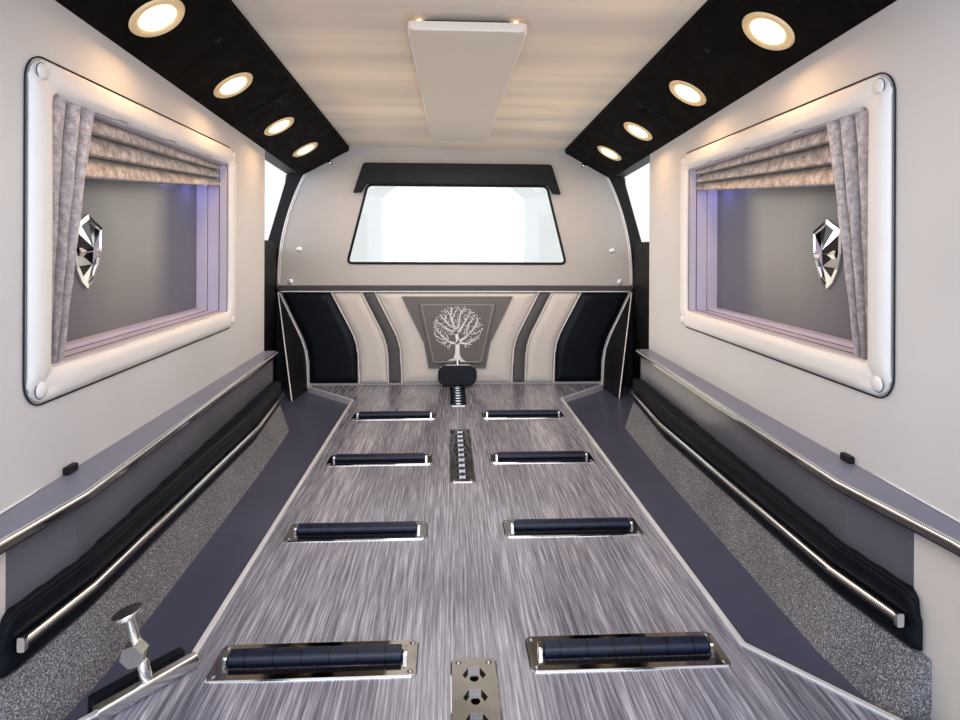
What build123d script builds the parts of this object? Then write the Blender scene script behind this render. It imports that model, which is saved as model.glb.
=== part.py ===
from build123d import *
from math import atan, degrees, sqrt
import os

# Casket compartment of a hearse: roller deck, trimmed side walls with curtained
# window boxes, lamp valances, headliner and the partition to the cab, all carried
# by a plain floor frame, posts, cant rails and roof bows. Millimetres.
# +Y is forward, to the partition. +X is the right side. The origin is at the
# middle of the underside.

os.makedirs("parts", exist_ok=True)

# Overall length and the body cage
bay_length = 2520.0
cage_half_width = 800.0
post_size = 50.0
sill_height = 62.0
sill_width = 60.0
member_width = 80.0
member_depth = 44.0
member_wall = 4.0
cant_width = 70.0
bow_width = 60.0
bow_height = 34.0
bow_crown = 14.0
bolt_hole_r = 7.0
bolt_inset = 160.0

# Boards and panels
pan_thick = 18.0
deck_thick = 20.0
board_thick = 18.0
trim_thick = 12.0
seat_gap = 0.3

# Inside heights, above the deck
ceiling_height = 995.0
valance_low = 869.0
wall_top_drop = 12.0
roof_pitch = 0.0415
ledge_height = 237.0
ledge_thick = 16.0
riser_height = 67.0
bumper_height = 78.0
bumper_proud = 8.0
bumper_round = 11.0

# Side walls: half width at the rear, and how far they open forward per mm
wall_half = 590.0
wall_toe = 0.025
wall_length = 1910.0

# Deck outline
deck_half = 391.0
deck_rear_half = 552.0
deck_front_half = 600.0
deck_front_straight = 48.0
deck_front_diagonal = 213.0
deck_waist_start = 776.0
deck_rear_run = 580.0
edge_trim_width = 9.0
edge_trim_lip = 3.0

# Rollers and their plates
roller_stations = [375.0, 769.0, 1148.0, 1554.0, 1969.0]
roller_offset = 219.0
roller_radius = 11.5
roller_length = 236.0
roller_proud = 19.0
roller_clearance = 5.1
roller_pin_r = 4.0
roller_pin_fit = 0.05
roller_side_gap = 3.0
plate_length = 283.0
plate_width = 76.0
plate_thick = 3.0
plate_corner = 10.0
plate_bevel = 2.0
cheek_thick = 5.0
cheek_depth = 12.0
cheek_width = 18.0
cheek_top = 7.0
well_depth = 14.0
well_clearance = 2.0
groove_width = 1.8
groove_depth = 1.2
roller_end_band = 22.0
roller_bands = 5

# Bier pin plates, on the centre line
bier_width = 64.0
bier_keel_width = 38.0
bier_keel_depth = 17.0
bier_inset = 6.0
bier_pitch = 40.5
bier_hole_r = 6.0
bier_hex_r = 16.0
bier_hex_depth = 5.0
bier_end_margin = 26.0
# rear and front end of each plate, from the rear edge or back from the partition
bier_rear_ends = (330.0, 764.0)
bier_middle_ends = (1391.0, 1815.0)
bier_front_ends = (361.0, 17.0)

# Window openings in the side walls
window_start = 807.0
window_length = 741.0
window_low = 407.0
window_high = 794.0
frame_band = 50.0
frame_proud = 16.0
frame_round = 38.0
frame_edge_round = 7.0
box_depth = 84.0
box_wall = 6.0
box_step = 8.0
box_step_depth = 48.0
back_thick = 5.0
back_gap = 0.5

# Lamps in the valances
lamp_radius = 50.0
lamp_can_r = 42.0
lamp_can_depth = 12.0
lamp_rim = 4.0
lamp_bezel = 3.0
lamp_lens_r = 34.0
lamp_lens_low = 1.5
lamp_lens_crown = 3.0
lamp_fit = 0.7
lamp_bore_depth = 120.0

# Partition
window_sill = 507.0
window_head = 835.0
glass_thick = 5.0
belt_low = 391.0
belt_high = 414.0
pad_thick = 14.0

floor_z = sill_height + pan_thick
deck_z = floor_z + deck_thick
rear_y = -bay_length / 2
front_y = bay_length / 2 - post_size - board_thick
cage_front = bay_length / 2
toe_angle = degrees(atan(wall_toe))


def station(distance):
    """Y of a place given as a distance forward from the rear edge."""
    return rear_y + distance


def wall_x(y):
    """Half width between the inner faces of the side walls at a given Y."""
    return wall_half + wall_toe * (y - rear_y)


def rise(y):
    """How much higher the roof line is here than at the partition."""
    return roof_pitch * (front_y - y)


def polygon(points):
    """A flat face through points in space."""
    return make_face(Polyline(*points, close=True))


def plan_slab(points, z_low, height):
    """A level slab whose outline is given as (x, y) points."""
    face = polygon([(x, y, z_low) for x, y in points])
    return extrude(face, amount=height, dir=(0, 0, 1))


def side_slab(points, x_low, thick):
    """An upright slab whose outline is given as (y, z) points."""
    face = polygon([(x_low, y, z) for y, z in points])
    return extrude(face, amount=thick, dir=(1, 0, 0))


def front_slab(points, y_low, thick):
    """A slab across the body whose outline is given as (x, z) points."""
    face = polygon([(x, y_low, z) for x, z in points])
    return extrude(face, amount=thick, dir=(0, 1, 0))


def block(x0, x1, y0, y1, z0, z1):
    """A plain block between two corners."""
    size = (x1 - x0, y1 - y0, z1 - z0)
    centre = ((x0 + x1) / 2, (y0 + y1) / 2, (z0 + z1) / 2)
    return Pos(*centre) * Box(*size)


def face_of(*lines):
    """A flat face bounded by lines and arcs that meet end to end."""
    return make_face([edge for line in lines for edge in line.edges()])


def both_sides(*lines):
    """Right-hand lines drawn as (x, z), with their mirror images."""
    return [*lines, *[mirror(line, about=Plane.YZ) for line in lines]]


def upright(face, y_low, thick):
    """A slab across the body from a face drawn as (x, height above the deck)."""
    placed = Pos(0, y_low, deck_z) * (Plane.XZ * face)
    return extrude(placed, amount=thick, dir=(0, 1, 0))


def softened(slab, radius):
    """Rounds the edges of a slab's rear face, the one that shows."""
    return fillet(slab.faces().sort_by(Axis.Y)[0].edges(), radius)


def mirrored(points):
    """A half outline of (x, z) points closed by its mirror image."""
    return points + [(-x, z) for x, z in reversed(points)]


def to_left(shape):
    """The same piece on the left side."""
    return mirror(shape, about=Plane.YZ)


def pair(shape):
    """A piece and its twin on the other side."""
    return [shape, to_left(shape)]


def on_wall(shape):
    """Places a piece drawn along the right wall: x out of the wall face, y from the rear edge."""
    return Pos(wall_half, rear_y, 0) * Rot(0, 0, -toe_angle) * shape


def save(name, shapes):
    """Writes one sub-part, made of one solid or of several that don't touch."""
    solids = shapes if isinstance(shapes, list) else [shapes]
    flat = [solid for shape in solids for solid in shape.solids()]
    export_step(flat[0] if len(flat) == 1 else Compound(children=flat), f"parts/{name}.step")


# Body cage

post_depth = post_size
cant_low = deck_z + valance_low + wall_top_drop
cant_top = deck_z + ceiling_height + trim_thick
sill_inner = cage_half_width - sill_width
# distance of each post from the rear edge to its rear face
post_stations = [0.0, 684.0, 1624.0, 1852.0, bay_length - post_size]
door_post = post_stations[-2]
member_count = 5


def floor_sills():
    sill = block(sill_inner, cage_half_width, rear_y, cage_front, 0, sill_height)
    for y in (rear_y + bolt_inset, cage_front - bolt_inset):
        hole = Pos((sill_inner + cage_half_width) / 2, y, sill_height / 2) * Cylinder(bolt_hole_r, sill_height)
        sill -= hole
    return pair(sill)


def crossmembers():
    pieces = []
    spacing = (bay_length - member_width) / (member_count - 1)
    for index in range(member_count):
        y = rear_y + index * spacing
        z = sill_height - member_depth
        beam = block(-sill_inner, sill_inner, y, y + member_width, z, sill_height)
        inner = block(-sill_inner, sill_inner, y + member_wall, y + member_width - member_wall,
                      z, sill_height - member_wall)
        pieces.append(beam - inner)
    return pieces


def posts():
    pieces = []
    for distance in post_stations:
        y = station(distance)
        top_x = wall_x(y) + cant_width
        foot = cage_half_width
        low, high = floor_z, cant_low + rise(y + post_depth) - seat_gap
        outline = [(foot - post_size, low), (foot, low), (top_x, high), (top_x - post_size, high)]
        pieces += pair(front_slab(outline, y, post_depth))
    return pieces


def cant_rails():
    y0, y1 = rear_y, cage_front
    outline = [
        (y0, cant_low + rise(y0)),
        (y1, cant_low + rise(y1)),
        (y1, cant_top + rise(y1)),
        (y0, cant_top + rise(y0)),
    ]
    rail = side_slab([(y - rear_y, z) for y, z in outline], 0, cant_width)
    return pair(on_wall(rail))


def roof_bows():
    pieces = []
    for distance in post_stations:
        y = station(distance) - (bow_width - post_size) / 2
        y = min(max(y, rear_y), cage_front - bow_width)
        half = wall_x(y) + cant_width
        z = cant_top + rise(y)
        arc = ThreePointArc((-half, y, z + bow_height - bow_crown), (0, y, z + bow_height),
                            (half, y, z + bow_height - bow_crown))
        drop = roof_pitch * bow_width
        base = Polyline((half, y, z + bow_height - bow_crown), (half, y, z), (-half, y, z),
                        (-half, y, z + bow_height - bow_crown))
        pieces.append(extrude(make_face([arc, *base.edges()]), amount=bow_width, dir=(0, 1, -drop / bow_width)))
    return pieces


def floor_pan():
    return block(-cage_half_width, cage_half_width, rear_y, cage_front, sill_height, floor_z)


# Deck, rollers and bier plates

def roller_places():
    """Centre of each roller as (row number, side name, x, y)."""
    places = []
    for row, distance in enumerate(roller_stations, 1):
        places.append((row, "right", roller_offset, station(distance)))
        places.append((row, "left", -roller_offset, station(distance)))
    return places


axle_z = deck_z + roller_proud - roller_radius
slot_length = roller_length + 2 * roller_side_gap
# the plate's top edge clears the drum, which is widest at its axle, above the plate
slot_width = 2 * sqrt((roller_radius + roller_clearance) ** 2 - (axle_z - deck_z - plate_thick) ** 2)
well_length = slot_length + 2 * (cheek_thick + well_clearance)
well_width = 2 * (roller_radius + roller_clearance)


def roller_wells():
    """The pockets in the deck that the rollers turn in, as cutters."""
    cutters = [block(x - well_length / 2, x + well_length / 2, y - well_width / 2, y + well_width / 2,
                     deck_z - well_depth, deck_z) for _, _, x, y in roller_places()]
    return Compound(children=cutters)


def deck_half_outline():
    """Right edge of the deck from the rear to the partition, as (x, y)."""
    return [
        (deck_rear_half, rear_y),
        (deck_rear_half, station(deck_rear_run)),
        (deck_half, station(deck_waist_start)),
        (deck_half, front_y - deck_front_straight - deck_front_diagonal),
        (deck_front_half, front_y - deck_front_straight),
        (deck_front_half, front_y - pad_thick - seat_gap),
    ]


def deck_panel():
    right = deck_half_outline()
    left = [(-x, y) for x, y in reversed(right)]
    deck = plan_slab(right + left, floor_z, deck_thick)
    deck -= roller_wells()
    for y_low, y_high in bier_places():
        slot = block(-bier_keel_width / 2 - well_clearance, bier_keel_width / 2 + well_clearance,
                     y_low + bier_inset - well_clearance, y_high - bier_inset + well_clearance, floor_z, deck_z)
        deck -= slot
    return deck


def deck_edge_trims():
    """Bright edging that caps the step between the deck and the side floors."""
    edge = deck_half_outline()
    outer = offset_2d_line(edge, edge_trim_width)
    face = polygon([(x, y, floor_z) for x, y in edge + list(reversed(outer))])
    strip = extrude(face, amount=deck_thick + edge_trim_lip, dir=(0, 0, 1))
    return pair(strip)


def offset_2d_line(points, distance):
    """The open line of points moved sideways by a distance, with mitred corners."""
    moved = []
    for index, point in enumerate(points):
        before = points[max(index - 1, 0)]
        after = points[min(index + 1, len(points) - 1)]
        first = Vector(point[0] - before[0], point[1] - before[1]) if index else None
        second = Vector(after[0] - point[0], after[1] - point[1]) if index < len(points) - 1 else None
        first = first or second
        second = second or first
        normal_a = Vector(first.Y, -first.X).normalized()
        normal_b = Vector(second.Y, -second.X).normalized()
        bisector = (normal_a + normal_b).normalized()
        reach = distance / bisector.dot(normal_a)
        moved.append((point[0] + bisector.X * reach, point[1] + bisector.Y * reach))
    return moved


def deck_plate(length, width, corner):
    """A flat plate with rounded corners and a bevelled rim, standing on z = 0."""
    plate = extrude(RectangleRounded(length, width, corner), amount=plate_thick)
    return chamfer(plate.faces().sort_by(Axis.Z)[-1].edges(), plate_bevel)


def roller_plates():
    pieces = []
    for _, _, x, y in roller_places():
        flange = deck_plate(plate_length, plate_width, plate_corner)
        flange -= Pos(0, 0, plate_thick / 2) * Box(slot_length, slot_width, plate_thick)
        plate = Pos(x, y, deck_z) * flange
        for side in (-1, 1):
            face_x = x + side * slot_length / 2
            far_x = face_x + side * cheek_thick
            cheek = block(min(face_x, far_x), max(face_x, far_x), y - cheek_width / 2, y + cheek_width / 2,
                          deck_z - cheek_depth, axle_z + cheek_top)
            plate += fillet(cheek.edges().filter_by(Axis.X).group_by(Axis.Z)[-1], cheek_top / 2)
        bore = Pos(x, y, axle_z) * Rot(0, 90, 0) * Cylinder(roller_pin_r + roller_pin_fit, well_length)
        pieces.append(plate - bore)
    return pieces


def roller(x, y):
    """One slim rubber roller with its bands and its two journals, turning about X."""
    half = roller_length / 2
    band = (roller_length - 2 * roller_end_band) / roller_bands
    grooves = [-half + roller_end_band + index * band for index in range(roller_bands + 1)]
    low = roller_radius - groove_depth
    outline = [(-half, 0), (-half, roller_radius)]
    for place in grooves:
        outline += [
            (place - groove_width / 2, roller_radius),
            (place - groove_width / 2, low),
            (place + groove_width / 2, low),
            (place + groove_width / 2, roller_radius),
        ]
    outline += [(half, roller_radius), (half, 0)]
    drum = revolve(polygon([(a, 0, r) for a, r in outline]), Axis.X)
    reach = roller_length + 2 * (roller_side_gap + cheek_thick - seat_gap)
    journal = Rot(0, 90, 0) * Cylinder(roller_pin_r, reach)
    return Pos(x, y, axle_z) * (drum + journal)


def bier_places():
    """Rear and front end of each bier plate, as Y values."""
    rear, middle = [(station(low), station(high)) for low, high in (bier_rear_ends, bier_middle_ends)]
    front = (front_y - bier_front_ends[0], front_y - bier_front_ends[1])
    return [rear, middle, front]


def bier_hole_rows(y_low, y_high):
    """Y of every pin hole in a plate."""
    usable = y_high - y_low - 2 * bier_end_margin
    count = int(usable / bier_pitch) + 1
    first = (y_low + y_high) / 2 - (count - 1) * bier_pitch / 2
    return [first + index * bier_pitch for index in range(count)]


def bier_plates():
    pieces = []
    for y_low, y_high in bier_places():
        length = y_high - y_low
        middle = (y_low + y_high) / 2
        plate = Pos(0, middle, deck_z) * deck_plate(bier_width, length, plate_corner)
        plate += block(-bier_keel_width / 2, bier_keel_width / 2, y_low + bier_inset, y_high - bier_inset,
                       deck_z - bier_keel_depth, deck_z)
        for y in bier_hole_rows(y_low, y_high):
            top = deck_z + plate_thick
            hexagon = Plane.XY.offset(top - bier_hex_depth) * RegularPolygon(bier_hex_r, 6)
            plate -= Pos(0, y, 0) * extrude(hexagon, amount=bier_hex_depth, dir=(0, 0, 1))
            plate -= Pos(0, y, deck_z - bier_keel_depth / 2) * Cylinder(bier_hole_r, bier_keel_depth * 2)
        pieces.append(plate)
    return pieces


# Front stop and rear clamp that hold a casket lengthwise

stop_y = bier_hole_rows(*bier_places()[-1])[-1]
stop_post_r = 12.5
stop_post_bevel = 2.0
stop_height = 105.0
stop_foot_r = 21.0
stop_foot_height = 6.0
stop_pad_width = 156.0
stop_pad_height = 84.0
stop_pad_thick = 22.0
stop_pad_round = 34.0
stop_pad_edge = 5.0
clamp_x = -424.0
clamp_station = 720.0
clamp_turn = 50.6
clamp_lean = 16.0
clamp_bar_length = 124.0
clamp_bar_width = 16.0
clamp_bar_height = 18.0
clamp_bar_round = 4.0
clamp_pad_thick = 14.0
clamp_pad_height = 36.0
clamp_pad_gap = 11.5
clamp_pad_length = 118.0
clamp_post_r = 6.5
clamp_post_height = 98.0
clamp_sleeve_r = 8.0
clamp_sleeve_height = 20.0
clamp_sleeve_low = 14.0
clamp_knob_r = 15.0
clamp_knob_thick = 11.0
clamp_knob_height = 50.0
clamp_disc_r = 18.0
clamp_disc_thick = 6.0


def bier_stop_post():
    low = deck_z + plate_thick
    post = Pos(0, stop_y, low + stop_height / 2) * Cylinder(stop_post_r, stop_height)
    post = chamfer(post.faces().sort_by(Axis.Z)[-1].edges(), stop_post_bevel)
    foot = Pos(0, stop_y, low + stop_foot_height / 2) * Cylinder(stop_foot_r, stop_foot_height)
    return post + foot


def bier_stop_pad():
    face = Plane.XZ * RectangleRounded(stop_pad_width, stop_pad_height, stop_pad_round)
    pad = softened(extrude(face, amount=stop_pad_thick), stop_pad_edge)
    z = deck_z + plate_thick + stop_foot_height + seat_gap + stop_pad_height / 2
    return Pos(0, stop_y - stop_post_r - seat_gap, z) * pad


def in_clamp(shape):
    return Pos(clamp_x, station(clamp_station), deck_z) * Rot(0, 0, clamp_turn) * shape


def bier_clamp():
    """Bar with a leaning post, a hexagon knob on it and a round foot on top."""
    bar = Box(clamp_bar_length, clamp_bar_width, clamp_bar_height)
    bar = in_clamp(Pos(0, 0, clamp_bar_height / 2) * fillet(bar.edges().filter_by(Axis.X), clamp_bar_round))
    lean = Pos(clamp_x, station(clamp_station), deck_z + clamp_bar_height / 2) * Rot(0, -clamp_lean, 0)
    post = Pos(0, 0, clamp_post_height / 2) * Cylinder(clamp_post_r, clamp_post_height)
    sleeve = Cylinder(clamp_sleeve_r, clamp_sleeve_height)
    sleeve = Pos(0, 0, clamp_sleeve_low + clamp_sleeve_height / 2) * sleeve
    knob = extrude(RegularPolygon(clamp_knob_r, 6), amount=clamp_knob_thick + clamp_post_r)
    knob = Pos(0, 0, clamp_knob_height) * Rot(90, 0, 0) * knob
    disc = Pos(0, 0, clamp_post_height) * Cylinder(clamp_disc_r, clamp_disc_thick)
    return bar + lean * (post + sleeve + knob + disc)


def bier_clamp_pad():
    """Rubber foot beyond the deck's edge trim, down on the side floor."""
    y = clamp_bar_width / 2 + clamp_pad_gap + clamp_pad_thick / 2
    z = clamp_pad_height / 2 - deck_thick
    return in_clamp(Pos(0, y, z) * Box(clamp_pad_length, clamp_pad_thick, clamp_pad_height))


# Side trim. Plan lines run along the wall: (distance from the rear edge, offset from the wall face)

ledge_line = [(0.0, -27.0), (596.0, -48.0), (781.0, -73.0), (1893.0, -50.0), (1907.0, -43.0), (1913.0, -29.0),
              (1913.0, 4.0)]
ledge_trim_thick = 8.0
ledge_trim_round = 5.0
panel_setback = 17.0
panel_end = 1893.0
grey_start = 666.0
riser_foot_line = [(640.0, -78.0), (781.0, -95.0), (1500.0, -98.0), (1885.0, -87.0)]
riser_top_line = [(640.0, -48.0), (781.0, -69.0), (1500.0, -86.0), (1885.0, -58.0)]
bumper_start = 648.0
bumper_end = 1878.0
rail_start = 664.0
rail_end = 1866.0
rail_height = 14.0
rail_proud = 8.0
rail_lift = 36.0


def strip_between(front_line, back_line, z_low, height):
    """A strip whose two edges are plan lines along the wall."""
    outline = [(x, y) for y, x in front_line] + [(x, y) for y, x in reversed(back_line)]
    return on_wall(plan_slab(outline, z_low, height))


def moved_line(line, distance):
    """A plan line moved out of the wall (positive) or into the bay (negative)."""
    return [(y, x + distance) for y, x in line]


def value_at(line, place):
    """Offset of a plan line at one place along the wall."""
    for (y0, x0), (y1, x1) in zip(line, line[1:]):
        if y0 <= place <= y1:
            return x0 + (x1 - x0) * (place - y0) / (y1 - y0)
    return line[-1][1] if place > line[-1][0] else line[0][1]


def part_of_line(line, start, end):
    """The stretch of a plan line between two places."""
    inside = [(y, x) for y, x in line if start < y < end]
    return [(start, value_at(line, start)), *inside, (end, value_at(line, end))]


ledge_low = deck_z + ledge_height - ledge_thick


def ledge_front():
    """The ledge's front line as (x, y) points, and the same line behind its edge trim."""
    line = [(x, y) for y, x in ledge_line]
    return line, offset_2d_line(line, ledge_trim_thick)


def ledges():
    _, line = ledge_front()
    back = [(board_thick, line[-1][1]), (board_thick, line[0][1])]
    return pair(on_wall(plan_slab(line + back, ledge_low, ledge_thick)))


def ledge_trims():
    """Rounded bright edge along the front of each ledge and round its far corner."""
    front, back = ledge_front()
    strip = plan_slab(front + list(reversed(back)), ledge_low, ledge_thick)
    edges = [edge for edge in strip.edges() if lies_on_front(edge)]
    return pair(on_wall(fillet(edges, ledge_trim_round)))


def lies_on_front(edge):
    """True for a level edge of the trim's front face."""
    start, end = edge.position_at(0), edge.position_at(1)
    front = [Vector(x, y, start.Z) for x, y in ledge_front()[0]]
    return all(min((point - corner).length for corner in front) < seat_gap for point in (start, end))


def side_panel(start, end):
    """Lower panel under the ledge, between two places along the wall."""
    front = part_of_line(moved_line(ledge_line, panel_setback), start, end)
    back = moved_line(front, trim_thick)
    return strip_between(front, back, floor_z, ledge_low - floor_z)


def lower_panels():
    return pair(side_panel(grey_start, panel_end))


def rear_lower_panels():
    return pair(side_panel(0.0, grey_start))


def along_wall(line, start, end, section):
    """A body along the wall, with a section at both ends and at each bend of a plan line."""
    places = [place for place, _ in part_of_line(line, start, end)]
    faces = [Pos(0, place, 0) * (Plane.XZ * section(place)) for place in places]
    return on_wall(loft(faces, ruled=True))


def panel_face(place):
    """Offset of the lower panel's face, less the gap that trim on it keeps."""
    return value_at(ledge_line, place) + panel_setback - seat_gap


riser_top = deck_z + riser_height
bumper_low = riser_top + seat_gap
bumper_top = bumper_low + bumper_height


def riser_section(place):
    foot, top, back = value_at(riser_foot_line, place), value_at(riser_top_line, place), panel_face(place)
    return face_of(Polyline((foot, floor_z), (top, riser_top), (back, riser_top), (back, floor_z), close=True))


def carpet_risers():
    """Leaning carpet face below the bumper, closed back to the lower panel."""
    return pair(along_wall(riser_top_line, riser_top_line[0][0], riser_top_line[-1][0], riser_section))


def bumper_section(place):
    """Flat back and foot, with both front edges rounded."""
    front, back = value_at(riser_top_line, place) - bumper_proud, panel_face(place)
    low, high, r = bumper_low, bumper_top, bumper_round
    tip = r * (1 - sqrt(0.5))
    return face_of(
        Polyline((front + r, low), (back, low), (back, high), (front + r, high)),
        ThreePointArc((front + r, high), (front + tip, high - tip), (front, high - r)),
        Line((front, high - r), (front, low + r)),
        ThreePointArc((front, low + r), (front + tip, low + tip), (front + r, low)),
    )


def bumper_pads():
    return pair(along_wall(riser_top_line, bumper_start, bumper_end, bumper_section))


def rail_section(place):
    """Half-round bead on the front of the bumper."""
    x = value_at(riser_top_line, place) - bumper_proud - seat_gap
    z = bumper_low + rail_lift
    ends = (x, z - rail_height / 2), (x, z + rail_height / 2)
    return face_of(ThreePointArc(ends[0], (x - rail_proud, z), ends[1]), Line(ends[1], ends[0]))


def bumper_rails():
    return pair(along_wall(riser_top_line, rail_start, rail_end, rail_section))


# Upper walls and window boxes, drawn along the wall

wall_low = deck_z + ledge_height
opening_y0 = window_start
opening_y1 = window_start + window_length
opening_z0 = deck_z + window_low
opening_z1 = deck_z + window_high


def upper_walls():
    y0, y1 = 0.0, wall_length
    top = cant_low
    outline = [
        (y0, wall_low),
        (y1, wall_low),
        (y1, top + rise(station(y1))),
        (y0, top + rise(station(y0))),
    ]
    board = side_slab(outline, 0, board_thick)
    board -= block(0, board_thick, opening_y0, opening_y1, opening_z0, opening_z1)
    return pair(on_wall(board))


def window_frames():
    """Padded surround with rounded corners and soft edges."""
    centre_y, centre_z = (opening_y0 + opening_y1) / 2, (opening_z0 + opening_z1) / 2
    length, height = window_length + 2 * frame_band, window_high - window_low + 2 * frame_band
    face = RectangleRounded(length, height, frame_round)
    face -= RectangleRounded(window_length, window_high - window_low, frame_edge_round)
    ring = extrude(face, amount=frame_proud)
    ring = fillet(ring.faces().sort_by(Axis.Z)[-1].edges(), frame_edge_round)
    facing_in = Plane(origin=(-seat_gap, centre_y, centre_z), x_dir=(0, 1, 0), z_dir=(-1, 0, 0))
    return pair(on_wall(facing_in * ring))


def window_boxes():
    """Tray behind the wall, open to the bay, with a step half way in."""
    outer = block(board_thick, box_depth, opening_y0 - box_wall, opening_y1 + box_wall,
                  opening_z0 - box_wall, opening_z1 + box_wall)
    outer -= block(board_thick, box_step_depth, opening_y0, opening_y1, opening_z0, opening_z1)
    outer -= block(box_step_depth, box_depth - box_wall, opening_y0 + box_step, opening_y1 - box_step,
                   opening_z0 + box_step, opening_z1 - box_step)
    return pair(on_wall(outer))


def window_backs():
    x = box_depth - box_wall - back_thick
    inset = box_step + back_gap
    panel = block(x, x + back_thick, opening_y0 + inset, opening_y1 - inset,
                  opening_z0 + inset, opening_z1 - inset)
    return pair(on_wall(panel))


curtain_depth = 34.0
curtain_gap = 6.0
side_curtain_top = 118.0
side_curtain_foot = 46.0
swag_near = 116.0
swag_far = 55.0


def curtains():
    """Pleated side curtain and the swag across the top, as one plain soft shape."""
    y0, z0 = opening_y0 + seat_gap, opening_z0 + seat_gap
    y1, z1 = opening_y1 - seat_gap, opening_z1 - seat_gap
    outline = [
        (y0, z0),
        (y0 + side_curtain_foot, z0),
        (y0 + side_curtain_top, z1 - swag_near),
        (y1, z1 - swag_far),
        (y1, z1),
        (y0, z1),
    ]
    return pair(on_wall(side_slab(outline, curtain_gap, curtain_depth)))


shield_width = 92.0
shield_height = 135.0
shield_thick = 14.0
shield_rim = 4.0
shield_shoulder = 0.78
shield_place = 1034.0
shield_centre = 569.0


def shields():
    """Plain heater shield with a raised middle ridge."""
    half, tall = shield_width / 2, shield_height / 2
    shoulder = tall * shield_shoulder
    side = ThreePointArc((half, shoulder), (half * 0.86, -tall * 0.25), (0, -tall))
    top = Line((half, shoulder), (0, tall))
    outline = face_of(*both_sides(side, top))
    body = extrude(outline, amount=shield_thick)
    ridge = Polyline((-half, 0), (half, 0), (half, shield_rim), (0, shield_thick), (-half, shield_rim),
                     close=True)
    body &= extrude(Plane.XZ * face_of(ridge), amount=tall, both=True)
    x = box_depth - box_wall - back_thick - seat_gap
    facing_in = Plane(origin=(x, shield_place, deck_z + shield_centre), x_dir=(0, -1, 0), z_dir=(-1, 0, 0))
    return pair(on_wall(facing_in * body))


# Roof trim

valance_inner = 455.0
valance_land = 26.0
headliner_lap = 20.0
valance_roll_width = 12.0
valance_roll_drop = 24.0
valance_nose = 10.0
valance_outer_edge = 26.0
# distance of each lamp from the rear edge, and its share of the way down the slope
lamp_stations = [991.0, 1374.0, 1780.0, 2133.0]
lamp_share = 0.53


def valance_section(y):
    """Right valance at one Y: a rolled inner edge and a flat slope down to the wall."""
    outer = wall_x(y) - seat_gap
    nose_top = (valance_inner, ceiling_height - valance_nose)
    nose_low = (valance_inner + valance_roll_width, ceiling_height - valance_roll_drop)
    belly = (valance_inner + valance_roll_width * 0.25, ceiling_height - valance_roll_drop * 0.8)
    face = face_of(
        ThreePointArc(nose_top, belly, nose_low),
        Polyline(nose_low, (outer, valance_low), (outer, valance_low + valance_outer_edge),
                 (valance_inner + valance_land, ceiling_height), (valance_inner, ceiling_height), nose_top),
    )
    return Pos(0, y, deck_z + rise(y)) * (Plane.XZ * face)


def lamp_places():
    """Centre and down-facing direction of each right-hand lamp."""
    places = []
    for distance in lamp_stations:
        y = station(distance)
        lift = deck_z + rise(y)
        low = Vector(wall_x(y), y, valance_low + lift)
        high = Vector(valance_inner + valance_roll_width, y, ceiling_height - valance_roll_drop + lift)
        along = Vector(0, 1, -roof_pitch).normalized()
        down = along.cross((low - high).normalized()).normalized()
        if down.Z > 0:
            down = down * -1
        places.append((high + (low - high) * lamp_share, down))
    return places


def valances():
    body = loft([valance_section(rear_y), valance_section(front_y - seat_gap)], ruled=True)
    for centre, down in lamp_places():
        body -= Plane(origin=centre, z_dir=down) * Cylinder(lamp_can_r + lamp_fit, lamp_bore_depth)
    return pair(body)


def lamp():
    """Round trim ring with a shallow lens, facing +Z."""
    outline = [
        (0, -lamp_can_depth),
        (lamp_can_r, -lamp_can_depth),
        (lamp_can_r, lamp_fit),
        (lamp_radius, lamp_fit),
        (lamp_radius - lamp_bezel, lamp_rim),
        (lamp_can_r - lamp_bezel, lamp_rim),
        (lamp_lens_r, lamp_lens_low),
        (0, lamp_lens_crown),
    ]
    return revolve(polygon([(r, 0, z) for r, z in outline]), Axis.Z)


def lamps():
    pieces = []
    for centre, down in lamp_places():
        pieces += pair(Plane(origin=centre, z_dir=down) * lamp())
    return pieces


def headliner():
    half = valance_inner + valance_land + headliner_lap
    z = deck_z + ceiling_height
    y0, y1 = rear_y, front_y
    outline = [
        (y0, z + rise(y0)),
        (y1, z + rise(y1)),
        (y1, z + rise(y1) + trim_thick),
        (y0, z + rise(y0) + trim_thick),
    ]
    return side_slab(outline, -half, 2 * half)


overhead_start = 1140.0
overhead_length = 1053.0
overhead_rear_width = 246.0
overhead_front_width = 214.0
overhead_drop = 30.0
overhead_thick = 18.0
overhead_inset = 26.0
overhead_corner = 12.0
overhead_edge = 7.0


def overhead_outline(inset):
    """Plan of the panel, narrower in front, moved in all round."""
    rear, front = overhead_rear_width / 2 - inset, overhead_front_width / 2 - inset
    face = face_of(Polyline((-rear, inset), (rear, inset), (front, overhead_length - inset),
                            (-front, overhead_length - inset), close=True))
    return fillet(face.vertices(), overhead_corner)


def overhead_panel():
    """Long control panel under the headliner, on a narrower plinth."""
    panel = extrude(Pos(0, 0, -overhead_drop) * overhead_outline(0.0), amount=overhead_thick)
    panel = fillet(panel.faces().sort_by(Axis.Z)[0].edges(), overhead_edge)
    plinth_height = overhead_drop - overhead_thick
    plinth = extrude(Pos(0, 0, -plinth_height) * overhead_outline(overhead_inset), amount=plinth_height)
    y = station(overhead_start)
    under_roof = Pos(0, y, deck_z + ceiling_height + rise(y)) * Rot(-degrees(atan(roof_pitch)), 0, 0)
    return under_roof * (panel + plinth)


# Partition to the cab

board_top_gap = 1.0
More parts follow.
